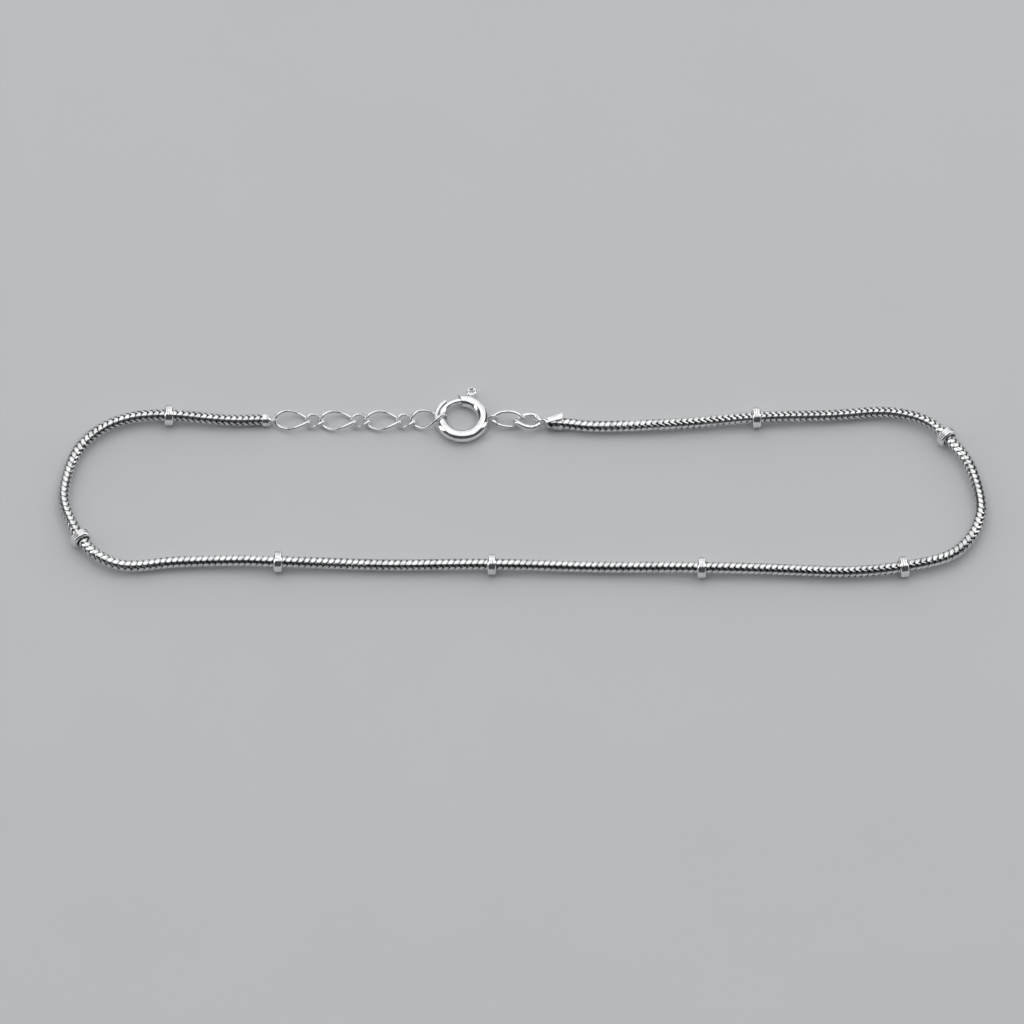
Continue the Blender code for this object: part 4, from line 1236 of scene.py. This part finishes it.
@dataclass
class FoldedCrimp:
    """The folded sheet crimp on the chain's other end, its flaps left standing at the top."""

    eye: Vector = field(default_factory=lambda: Vector((1.902, 8.51, 0.90)) * MM)
    turn: float = -5.0
    nose: float = 0.95 * MM
    sleeve: float = 1.40 * MM
    bore: float = 0.72 * MM
    wall: float = 0.16 * MM
    # The eye's hole, the rim round it and its thickness.
    eye_size: tuple[float, float, float] = (0.39 * MM, 0.15 * MM, 0.30 * MM)
    sheet_steps: tuple[int, int] = (16, 48)
    dent_depth: float = 0.09 * MM
    # How often the dents change along the sleeve and round it, and where the noise is read.
    dent_waves: tuple[float, float, float] = (4.1, 9.0, 3.7)
    back_dents: float = 0.12
    # Where round the fold the crumpled front flap starts, and over what share it comes in.
    flap: tuple[float, float] = (0.62, 0.15)
    # The size of the noise that mottles the painted shade on the crimp's front, and that shade's darkest value.
    shade_mottle_size: float = 0.22 * MM
    darkest: float = 0.9
    # The fold's outline at the sleeve's inner end and at its mouth, as shares of the bore.
    throat: tuple[tuple[float, float], ...] = (
        (-0.50, 0.90), (0.15, 1.02), (0.72, 0.76), (0.94, 0.38), (1.00, 0.00), (0.72, -0.72), (0.00, -1.00),
        (-0.72, -0.72), (-1.00, 0.00), (-0.92, 0.44),
    )
    mouth: tuple[tuple[float, float], ...] = (
        (-0.10, 1.48), (0.45, 1.56), (1.02, 1.48), (1.16, 0.78), (1.05, 0.00), (0.74, -0.74), (0.00, -1.00),
        (-0.74, -0.74), (-1.02, 0.00), (-1.00, 0.52),
    )

    def fold(self, around: float, share: float) -> Vector:
        """Return a point of the folded sheet's inner face.

        Args:
            around: The way round the fold, from 0 at the top flap's tip to 1 at the front flap's.
            share: The way along the sleeve, from 0 at the throat to 1 at the mouth.

        Returns:
            The point, in the crimp's frame.
        """
        rows = [
            Vector((near[0] + (far[0] - near[0]) * share, near[1] + (far[1] - near[1]) * share, 0.0))
            for near, far in zip(self.throat, self.mouth)
        ]
        dense = ChainRoute.smoothed(rows, 12)
        mark = around * (len(dense) - 1)
        low = min(int(mark), len(dense) - 2)
        spot = dense[low].lerp(dense[low + 1], mark - low) * self.bore
        return Vector((self.nose + self.sleeve * share, spot.x, spot.y))

    def build(self) -> bpy.types.Object:
        """Fold the sheet, thicken it, add its nose and return the crimp."""
        shell = bmesh.new()
        steps_along, steps_round = self.sheet_steps
        bmesh.ops.create_grid(shell, x_segments=steps_along, y_segments=steps_round, size=0.5)
        wave_along, wave_round, seed = self.dent_waves
        for vert in shell.verts:
            share, around = vert.co.x + 0.5, vert.co.y + 0.5
            spot = self.fold(around, share)
            dent = noise.noise(Vector((share * wave_along, around * wave_round, seed)))
            front = held((around - self.flap[0]) / self.flap[1])
            outward = Vector((0.0, spot.y, spot.z)).normalized()
            vert.co = spot + outward * (dent * self.dent_depth * (self.back_dents + front))
        bmesh.ops.recalc_face_normals(shell, faces=shell.faces)
        sample = max(shell.faces, key=lambda face: -face.calc_center_median().z)
        thickness = self.wall if sample.normal.z < 0.0 else -self.wall
        bmesh.ops.solidify(shell, geom=shell.faces[:], thickness=thickness)
        bmesh.ops.recalc_face_normals(shell, faces=shell.faces)
        nose = PinchedNose(self.nose + self.wall / 2, *self.eye_size, self.bore + self.wall * 0.3)
        add_shell(shell, nose.build(), Matrix.Identity(4))
        layer = shell.verts.layers.float.new(RECESS)
        for vert in shell.verts:
            # Painted shade on the front lower side, mottled by noise.
            shade_mottle = noise.noise(vert.co / self.shade_mottle_size)
            front = held(-vert.co.y / self.bore - 0.25) * held(1.4 - vert.co.z / self.bore)
            vert[layer] = min(self.darkest, front * (0.55 + shade_mottle))
        place = Matrix.Translation(self.eye + ROOT_SHIFT) @ Matrix.Rotation(math.radians(self.turn), 4, "Z")
        bmesh.ops.transform(shell, matrix=place, verts=shell.verts)
        return Piece("crimp_end", shell, CRIMP_SILVER, Slot.FITTINGS, sharp=34.0).place()


# ---------------------------------------------------------------- studio


@dataclass(frozen=True)
class Softbox:
    """A soft light: its direction from the bracelet, its size in metres, its distance and its watts."""

    name: str
    toward: tuple[float, float, float]
    size: tuple[float, float]
    far: float
    watts: float


@dataclass
class Studio:
    """The pale floor, the soft lights and the camera."""

    frame_width: float = 106.4 * MM
    distance: float = 1.4
    anchor: Vector = field(default_factory=lambda: Vector((-0.12, -0.982, 0.95)) * MM)
    anchor_pixel: tuple[float, float] = (521.5, 490.0)
    floor_size: float = 2.0
    sky: tuple[float, float, float] = (0.90, 0.93, 1.0)
    sky_strength: float = 0.07
    lights: tuple[Softbox, ...] = (
        Softbox("top_softbox", (0.0, 0.05, 1.0), (1.4, 1.04), 0.9, 5.0),
        Softbox("back_softbox", (0.0, 0.84, 0.54), (1.6, 1.06), 1.0, 4.6),
        Softbox("left_strip", (-1.0, -0.10, 0.40), (0.25, 0.8), 0.9, 1.6),
        Softbox("right_strip", (1.0, 0.15, 0.45), (0.22, 0.7), 0.9, 1.3),
    )

    def build_floor(self) -> None:
        """Lay the floor under the bracelet."""
        shell = bmesh.new()
        bmesh.ops.create_grid(shell, x_segments=2, y_segments=2, size=self.floor_size)
        mesh = bpy.data.meshes.new("floor")
        shell.to_mesh(mesh)
        shell.free()
        mesh.materials.append(FloorFinish().material())
        floor = bpy.data.objects.new("floor", mesh)
        bpy.context.scene.collection.objects.link(floor)

    def add_softbox(self, box: Softbox) -> None:
        """Hang one soft rectangular light that faces the bracelet.

        Args:
            box: The light's sizes and place.
        """
        light = bpy.data.lights.new(box.name, "AREA")
        light.shape = "RECTANGLE"
        light.size, light.size_y = box.size
        light.energy = box.watts
        holder = bpy.data.objects.new(box.name, light)
        bpy.context.scene.collection.objects.link(holder)
        away = Vector(box.toward).normalized()
        holder.location = away * box.far
        holder.rotation_euler = away.to_track_quat("Z", "Y").to_euler()
        holder.visible_camera = False

    def build_lights(self) -> None:
        """Hang the lights and set a dim even world."""
        world = bpy.data.worlds.new("studio")
        world.use_nodes = True
        background = world.node_tree.nodes["Background"]
        background.inputs["Color"].default_value = (*self.sky, 1.0)
        background.inputs["Strength"].default_value = self.sky_strength
        bpy.context.scene.world = world
        bpy.context.scene.view_settings.view_transform = "Standard"
        for box in self.lights:
            self.add_softbox(box)

    def build_camera(self) -> None:
        """Set the camera at the photograph's viewing angle."""
        data = bpy.data.cameras.new("camera")
        data.sensor_width = SENSOR
        data.lens = SENSOR * self.distance / self.frame_width
        data.clip_start = 0.01
        data.clip_end = 20.0
        camera = bpy.data.objects.new("camera", data)
        bpy.context.scene.collection.objects.link(camera)
        scale = self.frame_width / IMAGE_SIZE
        right = (IMAGE_SIZE / 2 - self.anchor_pixel[0]) * scale
        down = (IMAGE_SIZE / 2 - self.anchor_pixel[1]) * scale
        aim = self.anchor + Vector((right, 0.0, 0.0)) - IMAGE_UP * down
        camera.location = aim + TOWARD_CAMERA * self.distance
        camera.rotation_euler = (math.pi / 2 - ELEVATION, 0.0, 0.0)
        bpy.context.scene.camera = camera

    def build(self) -> None:
        """Set up the whole studio."""
        self.build_floor()
        self.build_lights()
        self.build_camera()


def main() -> None:
    """Build every sub-assembly in order."""
    logging.basicConfig(level=logging.INFO, format="%(name)s %(message)s")
    route = ChainRoute()
    SnakeChain(route).build()
    for number, (centre, along) in enumerate(route.beads(), start=1):
        StopperBead().build(number, centre, along)
    EndCap().build()
    Extension().build()
    ring = SpringRing()
    ring.build_body()
    ring.build_trigger()
    JumpLinks(ring.link_start()).build()
    FoldedCrimp().build()
    Studio().build()


if __name__ == "__main__":
    main()
